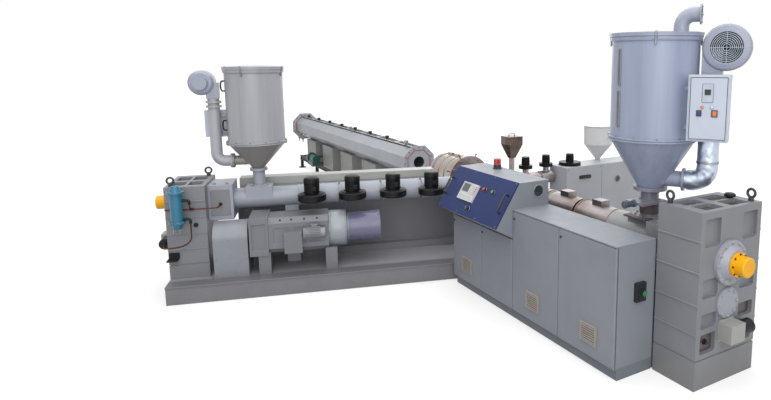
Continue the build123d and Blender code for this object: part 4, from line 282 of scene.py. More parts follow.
base_colours = ("#808188", "#a6a7ac", "#6d6964")
base_enamel = sprayed_enamel("base_frame_enamel", *base_colours, roughness=0.45, gloss=0.3)
# The side bed's deck top is painted paler behind the front edge as painted light, and darker along the front
# edge.
deck_enamel = sprayed_enamel("deck_painted_light_enamel", *base_colours, roughness=0.45, gloss=0.3,
                             deck=("#68686e", "#9a9a9f"))
wall_enamel = sprayed_enamel("wall_housing_enamel", "#737378", "#94949a", "#7c7a78", roughness=0.5, gloss=0.3)
plated_steel = brushed_steel("zinc_plated_steel", "#96989d", "#85847f", roughness=0.38)
dress(base_enamel, "main_bed")
dress(deck_enamel, "side_bed")
dress(wall_enamel, "side_wall")
wall_seats = on_side(np.linspace(-2.95, -0.60, 7)[:, None], 0.220, [0.33, 0.80])
piece("wall_screws", screws(wall_seats, side_front, 0.008), plated_steel)
end_x, end_reach = -0.500, 0.095
end_covers = [plate(on_side(end_x, y, z), side_back, UP, wide, high, end_reach, corner, edge)
              for y, z, wide, high, corner, edge in ((0.350, 0.5265, 0.258, 0.643, 0.006, 0.004),
                                                     (0.165, 0.2455, 0.108, 0.083, 0.004, 0.003),
                                                     (-0.060, 0.1015, 1.078, 0.200, 0.006, 0.004))]
piece("wall_end_cover", end_covers[:2], wall_enamel)
piece("bed_end_cover", end_covers[2:], deck_enamel)

# Gearboxes with their covers, eyes, pumps and the oil cooler.
# Iron castings under a thick grey enamel, covers held by rings of bolts, yellow caps over the shaft ends.
# The cooler's oil runs in bent copper pipe from the pump and to the lantern, through black elbow fittings.


def rod(low, high, radius):
    """The profile of a plain round bar or disc."""
    return [(low, 0), (low, radius), (high, radius), (high, 0)]


def bolts(places, along, head):
    """Hexagon bolts on washers: a round turned skin and one with six sides, set down at each place."""
    hexagon = np.array([(0.2, 0), (0.2, 1), (0.85, 1), (1, 0.82), (1, 0)])
    washer = lathe(rod(0, 0.25 * head, 1.35 * head), along=along, sides=14)
    return [copies(washer, places), copies(lathe(hexagon * head, along=along, sides=6), places)]


def ring(centre, along, radius, count, turn=0.0):
    """Points evenly round a circle: centre + radius spoke(t)."""
    return np.asarray(centre, float) + radius * spokes(along, turn + turns(count))


def bolt_ring(centre, along, radius, count, head, turn=0.0):
    """Bolts evenly round a circle, their heads along its axis."""
    return bolts(ring(centre, along, radius, count, turn), along, head)


def eased(corners, rounds=3):
    """A run of straight pieces whose corners are cut at a quarter of each side, again and again."""
    path = np.asarray(corners, float)
    for _ in range(rounds):
        near, far = 0.75 * path[:-1] + 0.25 * path[1:], 0.25 * path[:-1] + 0.75 * path[1:]
        path = np.concatenate([path[:1], np.stack([near, far], axis=1).reshape(-1, 3), path[-1:]])
    return path


def swept(path, reach, lean):
    """A skin carried along a path and closed at both ends: P(s, t) = path(s) + reach(s, t) spoke(s, t)."""
    spoke = spokes(np.gradient(path, axis=0), turns(reach.shape[1]), lean)
    ends = np.broadcast_to(path[[0, -1], None], (2, *spoke.shape[1:]))
    return surface(np.concatenate([ends[:1], path[:, None] + reach[..., None] * spoke, ends[1:]]))


def tube(path, radius, lean=(0.61, 0.52, -0.6), sides=12):
    """A round bar along a path: a swept skin of one reach."""
    return swept(path, np.full((len(path), sides), radius), lean)


gear_enamel = sprayed_enamel("gearbox_enamel", "#808287", "#a2a4a8", roughness=0.42, peel_mm=14.0, gloss=0.4)
cover_enamel = sprayed_enamel("cover_enamel", "#9a9da7", "#c0c3ca", "#7c7874", roughness=0.34)
dress(sprayed_enamel("safety_yellow_enamel", "#efac0a", "#f8c84c", "#8a7440", roughness=0.34, gloss=0.3),
      "shaft_caps")
dress(sprayed_enamel("cooler_teal_enamel", "#2c6f8c", "#6ba3b5", "#4a5a5c"), "side_oil_cooler")
black_enamel = sprayed_enamel("black_enamel", "#161618", "#2e2e32", "#2c2a28", roughness=0.45, gloss=0.25)
dress(sprayed_enamel("forged_eye_enamel", "#303136", "#5c5d61", "#4c4844", roughness=0.5), "lifting_eyes")
dress(sprayed_enamel("pump_block_enamel", "#9d9e9a", "#bcbcb8", "#6a6662", roughness=0.4), "oil_pumps")
copper_pipe = brushed_steel("oxidised_copper_pipe", "#5f382a", "#452b21", roughness=0.42)
dress(gear_enamel, "main_gearbox", "side_gearbox")
dress(cover_enamel, "end_covers")
dress(black_enamel, "pump_motors")

# Both screws, the die and the tank lie at one height.
AXIS = 1.0
piece("gear_cover_bolts", bolt_ring((0, -3.583, AXIS), -AHEAD, 0.163, 12, 0.012)
      + bolt_ring((0, -3.569, 0.667), -AHEAD, 0.108, 8, 0.012)
      + bolt_ring(on_side(-3.730, 0, AXIS), side_out, 0.108, 8, 0.012), cover_enamel)
gear_front = -3.519
plug = [(-0.004, 0), (-0.004, 0.026), (0.010, 0.026), (0.010, 0.017), (0.026, 0.017), (0.026, 0)]
breather = [(0, 0), (0, 0.024), (0.016, 0.024), (0.016, 0.046), (0.030, 0.048), (0.042, 0.036), (0.042, 0)]
plugs = [lathe(plug, (-0.206, gear_front, 0.372), -AHEAD, 6),
         lathe(plug, on_side(-3.400, -0.350, 0.800), side_front, 6),
         lathe(breather, (0.280, -3.330, 1.436))]
cap_bolts = bolt_ring((0, -3.652, AXIS), -AHEAD, 0.0885, 8, 0.0068)
piece("gear_plugs_and_breathers", cap_bolts + plugs, black_enamel, "black_paint")

# Dark brown films on the pocket floors: painted shade in the gearbox recesses, partly an oil film.
pocket_shade_and_oil = sprayed_enamel("pocket_shade_and_oil_film", "#4e4745", "#5e5755", "#3c3836")
film, low_film, pocket_corner = 0.003, 0.002, 0.017
pockets = [plate((x, y, 1.404), RIGHT, AHEAD, 0.221, 0.144, film, pocket_corner)
           for x in (-0.1327, 0.1747) for y in (-3.4312, -3.2548)]
pockets += [plate(on_side(x, y, 1.196), side_right, side_back, 0.139, 0.211, film, pocket_corner)
            for x in (-3.5811, -3.4089) for y in (-0.147, 0.147)]
pockets += [plate((x, gear_front, z), RIGHT, UP, 0.177, high, low_film, pocket_corner)
            for x, z, high in ((0.248, 0.5594, 0.113), (0.248, 0.3724, 0.156), (-0.206, 0.3724, 0.156))]
piece("gear_pocket_shade_and_oil", pockets, pocket_shade_and_oil)

cooler_x, cooler_y, elbow_x, rail_y, rail_z = -3.555, -0.484, -3.425, -0.385, 0.985
low_elbow, high_elbow = 0.905, 1.110
pipe_rail = on_side([-3.700, -3.700, -3.640, -3.20, -3.16, -3.16],
                    [-0.300, -0.372, rail_y, rail_y, -0.36, -0.200], rail_z)
pipe_link = on_side([-3.47, elbow_x, elbow_x, elbow_x], [cooler_y, cooler_y, -0.470, rail_y],
                    [high_elbow, high_elbow, 1.000, rail_z])
pipe_lower = on_side([-3.47, elbow_x, elbow_x, -3.43, -3.52, -3.70, -3.735, -3.755],
                     [cooler_y, cooler_y, cooler_y, cooler_y, cooler_y, -0.470, -0.40, -0.215],
                     [low_elbow, low_elbow, 0.75, 0.66, 0.600, 0.585, 0.575, 0.575])
piece("oil_pipes", [tube(eased(path), 0.0075) for path in (pipe_rail, pipe_link, pipe_lower)], copper_pipe)
union = rod(0, 0.020, 0.019)
fittings = [lathe(union, on_side(-3.16, -0.206, rail_z), side_front, 6),
            lathe(union, on_side(-3.755, -0.216, 0.575), side_front, 6),
            lathe(rod(-0.02, 0.02, 0.014), on_side(elbow_x, rail_y, rail_z), side_right, 8)]
for z in (low_elbow, high_elbow):
    fittings.append(tube(eased(on_side([-3.50, elbow_x, elbow_x], cooler_y, [z, z, z - 0.05])), 0.015))
    fittings.append(lathe(union, on_side(-3.498, cooler_y, z), side_right, 6))
bracket_x, bracket_wide = -3.640, 0.110
bracket = [plate(on_side(bracket_x, -0.350, 0.470), side_right, UP, bracket_wide, 0.070, 0.012, 0.008),
           plate(on_side(bracket_x, -0.420, 0.441), side_right, side_back, bracket_wide, 0.140, 0.010, 0.008)]
piece("cooler_elbows", fittings + bracket, black_enamel, "black_paint")
lantern_cover = plate(on_side(-3.159, -0.200, AXIS), side_right, UP, 0.205, 0.300, 0.006, 0.012)
lantern_screws = screws(on_side([[-3.240], [-3.078]], -0.206, [0.872, 1.128]), side_front, 0.008)
piece("lantern_cover", [lantern_cover] + lantern_screws, gear_enamel)
cooler_bolts = [skin for z in (0.884, 1.208)
                for skin in bolt_ring(on_side(cooler_x, cooler_y, z), UP, 0.073, 8, 0.007)]
cooler_studs = copies(lathe(rod(0, 0.045, 0.006), sides=8),
                      ring(on_side(cooler_x, cooler_y, 0.762), UP, 0.045, 4, 0.4))
piece("cooler_bolts", cooler_bolts + [cooler_studs], plated_steel, "cooler_teal")

# Barrels, heater covers, barrel blowers and the cable trunking.
# Enamelled feed housings, thin stainless covers that heat has tinted, pale sheet trunking held by screws.
# Each blower's motor has a finned jacket under a black sheet cowl.


def cuff(low, high, inner, outer):
    """The profile of a plain ring, closed on itself."""
    return [(low, inner), (low, outer), (high, outer), (high, inner), (low, inner)]


def fluted(profile, foot, along, fin, count):
    """A finned jacket: a turned piece whose radius gains a square wave of the fin's height round the axis."""
    share = np.array([0.0, 0.45, 0.5, 0.95])
    angle = ((np.arange(count)[:, None] + share) * 2 * np.pi / count).ravel()
    wave = np.tile([0.0, 0.0, fin, fin], count)
    profile = np.asarray(profile, float)
    reach = np.where(profile[:, 1:] > 0, profile[:, 1:] + wave, 0.0)
    return surface(np.asarray(foot, float) + profile[:, :1, None] * unit(along)
                   + reach[..., None] * spokes(along, angle))


dress(sprayed_enamel("feed_housing_enamel", "#9a9ea9", "#bfc3ca", roughness=0.34),
      "side_barrel", "side_heater_covers")
dress(sprayed_enamel("trunking_enamel", "#a6a7a4", "#c6c6c2", "#7c7874", roughness=0.42), "side_trunking")
blower_enamel = sprayed_enamel("blower_enamel", "#0e0e10", "#1a1a1d", "#1c1a18", roughness=0.4, gloss=0.2)
dress(sprayed_enamel("barrel_pale_enamel", "#929394", "#b0b0b0", second=(1.195, True, "#7b7b87")),
      "main_barrel")
dress(brushed_steel("heater_cover_stainless", "#8f8b8b", "#7d6d67", roughness=0.36), "main_heater_covers")
dress(blower_enamel, "side_barrel_blowers", "stripe_blowers")

blower_stations = on_side([-2.165, -1.707, -1.235, -0.774], -0.290, 0.0)
jacket = fluted(rod(1.078, 1.196, 0.079), (0, 0, 0), UP, 0.007, 26)
cowl = lathe([(1.190, 0), (1.190, 0.084), (1.196, 0.089), (1.236, 0.089), (1.250, 0.082), (1.257, 0.066),
              (1.257, 0.020), (1.254, 0.0)], sides=28)
cowl_lip = lathe(cuff(1.058, 1.074, 0.100, 0.126), sides=32)
junction = plate(on_side(0.022, -0.0835, 1.135), side_right, UP, 0.055, 0.050, 0.026, 0.006, 0.004, 0.01)
piece("blower_motor_jackets", [copies(skin, blower_stations) for skin in (jacket, cowl, cowl_lip, junction)],
      blower_enamel, "black_paint")
stripe_stations = [(0.611, 0.0, 0.0), (0.952, 0.0, 0.0), (1.270, -0.122, 0.004)]
stripe_jacket = fluted(rod(1.205, 1.270, 0.050), (0, 0, 0), UP, 0.005, 20)
piece("stripe_blower_jackets", [copies(stripe_jacket, stripe_stations)], blower_enamel, "black_paint")
throat, side_throat = np.array([0, -2.720, 0]), on_side(-2.756, 0, 0)
barrel_bolts = screws(on_side(np.linspace(-2.90, -0.76, 9), 0.201, 1.176), side_front, 0.006)
barrel_bolts += bolts(on_side([-3.225, -3.095], -0.120, 1.200), UP, 0.014)
barrel_bolts += bolts([(-0.120, y, 1.200) for y in (-3.068, -2.938)], UP, 0.014)
for neck, z, along, radius, count, head, turn in ((throat, 1.206, UP, 0.122, 8, 0.011, 0.2),
                                                  (throat, 1.434, -UP, 0.122, 8, 0.011, 0.2),
                                                  (throat, 1.340, UP, 0.090, 4, 0.008, 0.7),
                                                  (side_throat, 1.157, UP, 0.083, 8, 0.009, 0.2),
                                                  (side_throat, 1.320, -UP, 0.083, 8, 0.009, 0.2)):
    barrel_bolts += bolt_ring(neck + z * UP, along, radius, count, head, turn)
piece("barrel_bolts", barrel_bolts, plated_steel)
gate_ram = [(0, 0), (0, 0.034), (0.012, 0.034), (0.012, 0.027), (0.105, 0.027), (0.105, 0.034),
            (0.120, 0.034), (0.120, 0.010), (0.128, 0.010), (0.128, 0)]
ram_enamel = sprayed_enamel("ram_anodised_grey", "#4c5361", "#8c929e", "#4a4846")
piece("feed_gate_ram", [lathe(gate_ram, throat + [-0.193, 0, 1.327], -RIGHT)], ram_enamel, "control_plastic")
scale_iron = sprayed_enamel("saddle_scaled_iron", "#54474a", "#7a6c6a", "#4a4442", roughness=0.55)
piece("saddle_plates", [plate(throat + [-0.030, 0, 1.191], RIGHT, AHEAD, 0.330, 0.250, 0.013, 0.006, 0.003),
                        lathe(cuff(1.2205, 1.312, 0.0815, 0.086), throat, UP, 36)], scale_iron)

# Drive motors, coupling guards, the side motor's fan and air sleeve.
# Cast motor frames and folded guards in the machine enamel; the fan's small motor is finned.
# The sleeve is coated cloth on a wire form, strapped at both ends.


def strap(radius, half=0.004):
    """The profile of a flat band strapped round a pipe."""
    return cuff(0, 0.018, radius - half, radius + half)


motor_enamel = sprayed_enamel("motor_enamel", "#75767c", "#9fa1a6", roughness=0.42)
guard_enamel = sprayed_enamel("guard_enamel", "#888b93", "#b0b3b9", roughness=0.28)
dress(sprayed_enamel("sleeve_coated_cloth", "#6a6982", "#a4a4b6", roughness=0.26, peel_mm=40.0),
      "side_motor_sleeve")
dress(motor_enamel, "drive_motors")
dress(guard_enamel, "coupling_guards", "side_motor_fan")

chamfer_out = 0.7071 * (UP + side_front)
frame_plugs = bolts(on_side([-2.52, -2.40, -2.26, -2.12], -0.4375, 0.8125), chamfer_out, 0.008)
frame_feet = bolts(on_side([-2.72, -2.68, -1.99, -1.95], -0.430, 0.432), UP, 0.010)
piece("motor_frame_bolts", frame_plugs + frame_feet, black_enamel, "black_paint")
box_corners = on_side([[-2.464], [-2.302]], -0.525, [0.461, 0.669])
guard_corners = on_side([[-3.205], [-2.895]], -0.450, [0.235, 0.420, 0.600])
piece("motor_box_screws", screws(box_corners, side_front, 0.007) + screws(guard_corners, side_front, 0.008),
      plated_steel)
fan_foot = on_side(-2.235, -0.529, 0.670)
fan_jacket = fluted(rod(0, 0.150, 0.063), fan_foot, side_right, 0.007, 22)
fan_cowl = lathe([(-0.041, 0), (-0.041, 0.050), (-0.034, 0.064), (-0.008, 0.070), (-0.002, 0.070),
                  (-0.002, 0)], fan_foot, side_right, 28)
fan_box = plate(on_side(-2.150, -0.529, 0.733), side_right, side_back, 0.075, 0.060, 0.036, 0.006, 0.003,
                0.010)
piece("fan_motor_jacket", [fan_jacket, fan_cowl, fan_box], motor_enamel)
sleeve_axis = on_side(0, -0.265, 0.640)
strap_rows = ((-1.786, 0.1625, 40), (-1.424, 0.1715, 40), (-1.990, 0.205, 48), (-1.812, 0.205, 48))
piece("sleeve_straps", [lathe(strap(radius), sleeve_axis + x * side_right, side_right, sides)
                        for x, radius, sides in strap_rows], guard_enamel)
drum_enamel = sprayed_enamel("drum_sheet_enamel", "#979ca4", "#bcc0c6", roughness=0.24)
drum_sheet = [(0, 0.203), (0, 0.206), (0.003, 0.2075), (0.157, 0.2075), (0.160, 0.206), (0.160, 0.203),
              (0, 0.203)]
piece("fan_drum_sheet", [lathe(drum_sheet, sleeve_axis - 1.972 * side_right, side_right, 56)], drum_enamel)

# Hopper dryers: hopper, lid, blower, control box and hot air pipe.
# Rolled sheet in a glossy grey enamel with upright streaks painted in as reflection bands; the lids are held
# by toggle latches.
# Sight glasses run down the main hopper. The boxes' lamps and rockers are moulded and snap into the doors.


def moulded_plastic(name, colour, grime, roughness=0.35, grain_mm=4.0, coat=0.0):
    """Moulded plastic, rubber or glass: an even colour with faint flow marks, grime and a fine grain.

    The mould grain is really under 1 mm; it is drawn coarser so that it shows.
    """
    material, tree, shader, place = bare_material(name)
    flow = add(tree, "TexNoise", {"Vector": place, "Scale": 1 / 0.05, "Detail": 4.0})
    rubbed = add(tree, "MapRange", {"Value": flow, "From Min": 0.45, "From Max": 0.75, "To Max": 0.45})
    body = add(tree, "Mix", {0: rubbed, 6: linear(colour), 7: linear(grime)}, data_type="RGBA")
    matt = add(tree, "MapRange", {"Value": flow, **NOISE_SPAN, "To Min": max(roughness - 0.05, 0.02),
                                  "To Max": roughness + 0.08})
    grain = add(tree, "TexNoise", {"Vector": place, "Scale": 1000 / grain_mm, "Detail": 2.0})
    skin = add(tree, "Bump", {"Strength": 0.06, "Distance": 0.001, "Height": grain})
    fill(shader, {"Base Color": body, "Roughness": matt, "Normal": skin, "Coat Weight": coat})
    return material


def hoop(centre, right, up, width, height, corner, band, thick, sink=0.002):
    """A rounded rectangular rim: the outline carried round a small square section that closes on itself."""
    return panel(centre, right, up, width, height, corner,
                 [(0, -sink), (0, thick), (band, thick), (band, -sink), (0, -sink)])


def latch(foot, out, rise):
    """A toggle latch: a base plate, a lever over it, and a wire bail that hooks over the rim above."""
    right = np.cross(UP, out)
    pivot = foot + 0.012 * out + 0.020 * UP
    base = plate(foot, right, UP, 0.024, 0.046, 0.005, 0.005, 0.001, 0.004)
    lever = plate(foot + 0.010 * out - 0.006 * UP, right, UP, 0.015, 0.050, 0.006, 0.006, 0.002, 0.006)
    knuckle = lathe(rod(-0.014, 0.014, 0.006), pivot, right, 12)
    leg = np.array([pivot, foot + 0.024 * out + rise * UP, foot + 0.020 * out + (rise + 0.012) * UP])
    bail = np.concatenate([leg - 0.009 * right, leg[::-1] + 0.009 * right])
    return [base, lever, knuckle, tube(eased(bail, 2), 0.0025, sides=8)]


def polar(stand, radius, degrees, z):
    """A point on a hopper's wall and the direction out of it, at a compass angle and a height."""
    turn = math.radians(degrees)
    out = np.array([math.cos(turn), math.sin(turn), 0.0])
    return stand[0] + z * UP + radius * out, out


# Below 1.640 m the side hopper's cone is a darker brownish grey: painted shade on the downward-facing cone
# and a painted reflection of the floor.
side_dryer_enamel = sprayed_enamel("side_dryer_enamel", "#a0a2a8", "#a3a5ab", patchy=0.2,
                                   second=(1.640, False, "#8a8784"), reflection_streaks=True)
# Both hoppers carry upright streaks painted in as reflection bands.
main_dryer_enamel = sprayed_enamel("main_dryer_enamel", "#939bb1", "#969eb4", patchy=0.2, reflection_streaks=True)
dress(sprayed_enamel("side_pipe_enamel", "#a6a8ae", "#a9abb1", patchy=0.2), "side_dryer_pipe")
fan_enamel = sprayed_enamel("dryer_fan_enamel", "#969bab", "#999eae", patchy=0.2)
dress(sprayed_enamel("dryer_box_enamel", "#b9c0cf", "#d6d9e0", roughness=0.32), "dryer_boxes")
foil = brushed_steel("lagging_foil", "#bcc5d3", "#a6b1c3", roughness=0.4, line_mm=24.0, dent=0.5)
dress(side_dryer_enamel, "side_dryer_hopper")
dress(main_dryer_enamel, "main_dryer_hopper")
dress(fan_enamel, "dryer_lids", "dryer_fans")
dress(foil, "main_dryer_pipe")

main_dryer, side_dryer = axes(*throat[:2], 0.5299, -0.8480), axes(-2.634, 0.810, *side_out[:2])
main_radius, side_radius = 0.366, 0.314
lid_band = [(-0.036, -0.003), (-0.036, 0.010), (-0.030, 0.013), (0.0, 0.013), (0.0, -0.003), (-0.036, -0.003)]
rim_fittings, lid_bands = [], []
for name, stand, radius, lid_rim, low_rim, first_angle, finish in (
        ("main", main_dryer, main_radius, 2.768, 1.888, 222.0, main_dryer_enamel),
        ("side", side_dryer, side_radius, 2.481, 1.638, 235.0, side_dryer_enamel)):
    for quarter in range(4):
        rim_fittings += latch(*polar(stand, radius, first_angle + 90 * quarter, lid_rim - 0.045), 0.070)
    seats = ring(stand[0] + low_rim * UP, -UP, radius + 0.010, 12, math.radians(first_angle))
    rim_fittings += bolts(seats, -UP, 0.008) + bolts(seats + 0.032 * UP, UP, 0.008)
    band = lathe([(rise, radius + step) for rise, step in lid_band], stand[0] + lid_rim * UP, UP, 72)
    lid_bands.append((f"{name}_lid_band", [band], finish))
latch_steel = brushed_steel("latch_dull_steel", "#82858e", "#6d6f77", roughness=0.45)
piece("dryer_latches", rim_fittings, latch_steel, "dryer_paint")
for band in lid_bands:
    piece(*band, "dryer_paint")

slot_angle, slot_wide, slot_high = 171.2, 0.044, 0.315
slot_rims, slot_glasses = [], []
for z in (2.5135, 2.1635):
    foot, out = polar(main_dryer, main_radius, slot_angle, z)
    right = np.cross(UP, out)
    slot_rims.append(hoop(foot, right, UP, slot_wide, slot_high, 0.020, 0.008, 0.007))
    slot_glasses.append(plate(foot, right, UP, slot_wide - 0.012, slot_high - 0.012, 0.003, 0.015, 0.001))
sight_glass = moulded_plastic("sight_glass", "#4a525c", "#626a72", roughness=0.08, coat=0.6)
piece("sight_glass_rims", slot_rims, plated_steel, "dryer_paint")
piece("sight_glasses", slot_glasses, sight_glass, "dryer_paint")

face_grey = moulded_plastic("panel_line_grey", "#33373f", "#484c54", roughness=0.5)
face_pale = moulded_plastic("controller_pale_grey", "#b4bcc8", "#9ca4b0", roughness=0.4)
face_black = moulded_plastic("black_window_acrylic", "#15171b", "#23262c", roughness=0.12, coat=0.5)
rocker_blue = moulded_plastic("rocker_blue_nylon", "#283a6e", "#3c4a74", roughness=0.3)
lamp_orange = moulded_plastic("lamp_orange_lens", "#e8741c", "#c46a2a", roughness=0.15, coat=0.5)
lamp_pale = moulded_plastic("lamp_pale_lens", "#b9d4e4", "#9ab4c4", roughness=0.15, coat=0.5)
lens = [(-0.002, 0), (-0.002, 0.011), (0.004, 0.011), (0.008, 0.007), (0.009, 0.0)]
bezel = cuff(-0.002, 0.003, 0.010, 0.016)
# Places and sizes on a box's door are shares of its width and height.
spots = {"middle": (0.5, 0.5), "controller": (0.48, 0.73), "readout": (0.48, 0.745), "orange": (0.36, 0.520),
         "pale": (0.59, 0.520), "rocker": (0.29, 0.43), "socket": (0.66, 0.43)}
for name, stand, x_low, x_high, z_low, z_high, front in (
        ("main", main_dryer, 0.330, 0.642, 1.930, 2.457, -0.380),
        ("side", side_dryer, 0.330, 0.560, 1.714, 2.019, -0.238)):
    wide, high = x_high - x_low, z_high - z_low
    right, out = stand[1], -stand[2]
    door = {spot: at(stand, x_low + across * wide, front, z_low + upward * high)
            for spot, (across, upward) in spots.items()}
    frames = [hoop(door["middle"], right, UP, wide - 0.036, high - 0.036, 0.006, 0.005, 0.0015),
              hoop(door["socket"], right, UP, 0.15 * wide, 0.105 * high, 0.004, 0.006, 0.008),
              hoop(door["rocker"], right, UP, 0.13 * wide, 0.095 * high, 0.004, 0.005, 0.006),
              hoop(door["controller"], right, UP, 0.27 * wide, 0.28 * high, 0.006, 0.003, 0.003)]
    controller = plate(door["controller"], right, UP, 0.27 * wide - 0.005, 0.28 * high - 0.005, 0.0055, 0.004)
    controller_keys = screws(door["controller"] - [[0.07 * high], [0.10 * high]] * UP, out, 0.004)
    readout = plate(door["readout"] + 0.0055 * out, right, UP, 0.15 * wide, 0.085 * high, 0.003, 0.003)
    socket = plate(door["socket"], right, UP, 0.10 * wide, 0.07 * high, 0.007, 0.003, 0.003)
    rocker = plate(door["rocker"], right, UP, 0.10 * wide, 0.075 * high, 0.009, 0.004, 0.004)
    orange, pale = (lathe(lens, door[spot], out, 18) for spot in ("orange", "pale"))
    bezels = [lathe(bezel, door[spot], out, 18) for spot in ("orange", "pale")]
    piece(f"{name}_dryer_box_frames", frames, face_grey, "dryer_paint")
    piece(f"{name}_dryer_controller", [controller] + controller_keys, face_pale, "display_plastic")
    piece(f"{name}_dryer_readout", [readout], face_black, "display_plastic")
    piece(f"{name}_dryer_lamp_bezels", bezels, plated_steel, "dryer_paint")
    piece(f"{name}_dryer_orange_lamp", [orange, socket], lamp_orange, "control_plastic")
    piece(f"{name}_dryer_pale_lamp", [pale], lamp_pale, "control_plastic")
    piece(f"{name}_dryer_rocker", [rocker], rocker_blue, "control_plastic")

# Blower mouths of the dryers.
# A rounded pressed rim round the sunk eye, and a guard of bright wire rings spot welded to two cross bars.
# Behind the wires a black disc in the sunk eye is painted shade.
wire, bend = 0.0034, 0.026
round_turn, wire_turn = np.linspace(0, np.pi / 2, 9), np.linspace(0, 2 * np.pi, 11)
eye_shade = sprayed_enamel("fan_eye_painted_shade", "#131518", "#1c1e22", "#1c1c1c", roughness=0.6)
guard_wire = brushed_steel("guard_bright_wire", "#9aa2ac", "#858d96")
mouth_shades, mouth_wires = [], []
for name, stand, fan_x, fan_z, fan_radius in (("main", main_dryer, 0.577, 2.672, 0.190),
                                              ("side", side_dryer, 0.548, 2.335, 0.136)):
    out, eye, lip = -stand[2], 0.76 * fan_radius, 0.66 * fan_radius
    mouth = at(stand, fan_x, -0.100, fan_z)
    rim = [(bend * math.sin(t) - bend, fan_radius + 0.001 - bend + bend * math.cos(t)) for t in round_turn]
    rim += [(0.0015, fan_radius - 1.3 * bend), (0.006, lip + 0.010), (0.006, lip + 0.003), (0.003, lip),
            (-0.003, lip), (-0.0045, lip + 0.003), (-0.0045, eye + 0.001), (-bend, eye + 0.001), rim[0]]
    piece(f"{name}_fan_rim", [lathe(rim, mouth, out, 56)], fan_enamel, "dryer_paint")
    # A black disc 2 cm down the eye: painted shade.
    mouth_shades.append(lathe(rod(-0.024, -0.0205, eye - 0.0005), mouth, out, 48))
    for share in np.arange(2, 9) / 10:
        loop = [(0.0005 + wire * math.cos(t), share * eye + wire * math.sin(t)) for t in wire_turn]
        mouth_wires.append(lathe(loop, mouth, out, 40))
    for along in (stand[1], UP):
        bar = mouth + np.linspace(-eye - 0.004, eye + 0.004, 8)[:, None] * along - 0.001 * out
        mouth_wires.append(tube(bar, wire, out, 8))
piece("fan_eye_shades", mouth_shades, eye_shade, "black_paint")
piece("fan_guard_wires", mouth_wires, guard_wire, "dryer_paint")

# Foil lagging of the main hot air pipe.
# Mineral wool wrapped in thin aluminium foil, crinkled by hand and held by three steel bands.
# The hoppers' bent rod handles are welded on beside it.


def wrapped(path, radius, crinkle, rows_mm=9.0, sides=40):
    """Foil lagging on a pipe: a swept skin whose reach gains three crossing waves of angle and length.

    The waves are the sizes of sines, so their crests are sharp.
    """
    step = np.concatenate([[0], np.cumsum(np.linalg.norm(np.diff(path, axis=0), axis=1))])
    run = np.linspace(0, step[-1], int(step[-1] * 1000 / rows_mm))
    path = np.stack([np.interp(run, step, path[:, k]) for k in range(3)], axis=-1)
    along, angle = run[:, None] * 1000, turns(sides)
    wave = (np.abs(np.sin(along / 23 + 2 * angle + np.sin(along / 61)))
            + np.abs(np.sin(along / 37 - 3 * angle + 1.3)) + 0.6 * np.abs(np.sin(along / 13 + 5 * angle)))
    return swept(path, radius + crinkle * wave / 2.6, main_dryer[2])


bend_turn = np.linspace(0, np.pi / 2, 14)
bend_radius, pipe_x, stub_z = 0.120, 0.470, 1.544
bend_x, bend_z = pipe_x - bend_radius, stub_z + bend_radius
pipe_path = np.concatenate([at(main_dryer, pipe_x, 0.0, [2.436, bend_z]),
                            at(main_dryer, bend_x + bend_radius * np.cos(bend_turn), 0.0,
                               bend_z - bend_radius * np.sin(bend_turn)),
                            at(main_dryer, [0.310], 0.0, stub_z)])
piece("foil_lagging", [wrapped(pipe_path, 0.0815, 0.008)], foil, "foil_pipe", crease=0.35)
foil_bands = [lathe(strap(0.090, 0.002), at(main_dryer, pipe_x, 0.0, z), UP, 36) for z in (2.41, 2.05, 1.70)]
mouth_bolts = bolt_ring(at(main_dryer, 0.365, 0.0, 2.949), main_dryer[1], 0.075, 6, 0.006)
piece("foil_bands", foil_bands + mouth_bolts, plated_steel, "foil_pipe")
handle_bow = np.array([[-0.055, -0.004], [-0.055, 0.040], [0.055, 0.040], [0.055, -0.004]])
handles = []
for stand, radius, angle, z in ((side_dryer, side_radius, 178.0, 2.30),
                                (side_dryer, side_radius, 178.0, 1.86),
                                (main_dryer, main_radius, 95.0, 2.50)):
    foot, out = polar(stand, radius, angle, z)
    handles.append(tube(eased(foot + handle_bow[:, :1] * UP + handle_bow[:, 1:] * out), 0.009))
piece("hopper_handles", handles, black_enamel, "black_paint")

# Control cabinet and console.
# Folded sheet with a grey textured powder coat, locks on its doors, louvred filters, a blue operator panel.
# Display, keys and buttons are moulded and snap into the panel; the console's lamp stands on a black foot.
cabinet_coat = sprayed_enamel("cabinet_powder_coat", "#858991", "#a8acb2", "#7a7774", roughness=0.5,
                              peel_mm=6.0, second=(0.104, False, "#6e757f"), gloss=0.35, dust_rise=0.25,
                              dust_share=0.4)
dress(sprayed_enamel("operator_panel_enamel", "#2b3763", "#475279", "#4a4a50", roughness=0.45, gloss=0.2),
      "console_panel")
dress(moulded_plastic("display_moulding", "#c9cacc", "#b4b5b6", roughness=0.45), "console_display")
moulded_black = moulded_plastic("control_moulding", "#1f1f23", "#3a3a3e", roughness=0.4)
filter_beige = moulded_plastic("filter_moulding", "#9b948e", "#878079", roughness=0.55)
lens_red = moulded_plastic("signal_lens", "#b3161c", "#96242a", roughness=0.12, coat=0.6)
dress(cabinet_coat, "cabinet_shell", "console_shell", "console_head", "cabinet_door_near", "cabinet_door_far",
      "console_door_near", "console_door_far")
dress(moulded_black, "console_controls", "cabinet_switch")
dress(filter_beige, "cabinet_filter_near", "cabinet_filter_far", "console_filter")
dress(lens_red, "console_beacon")

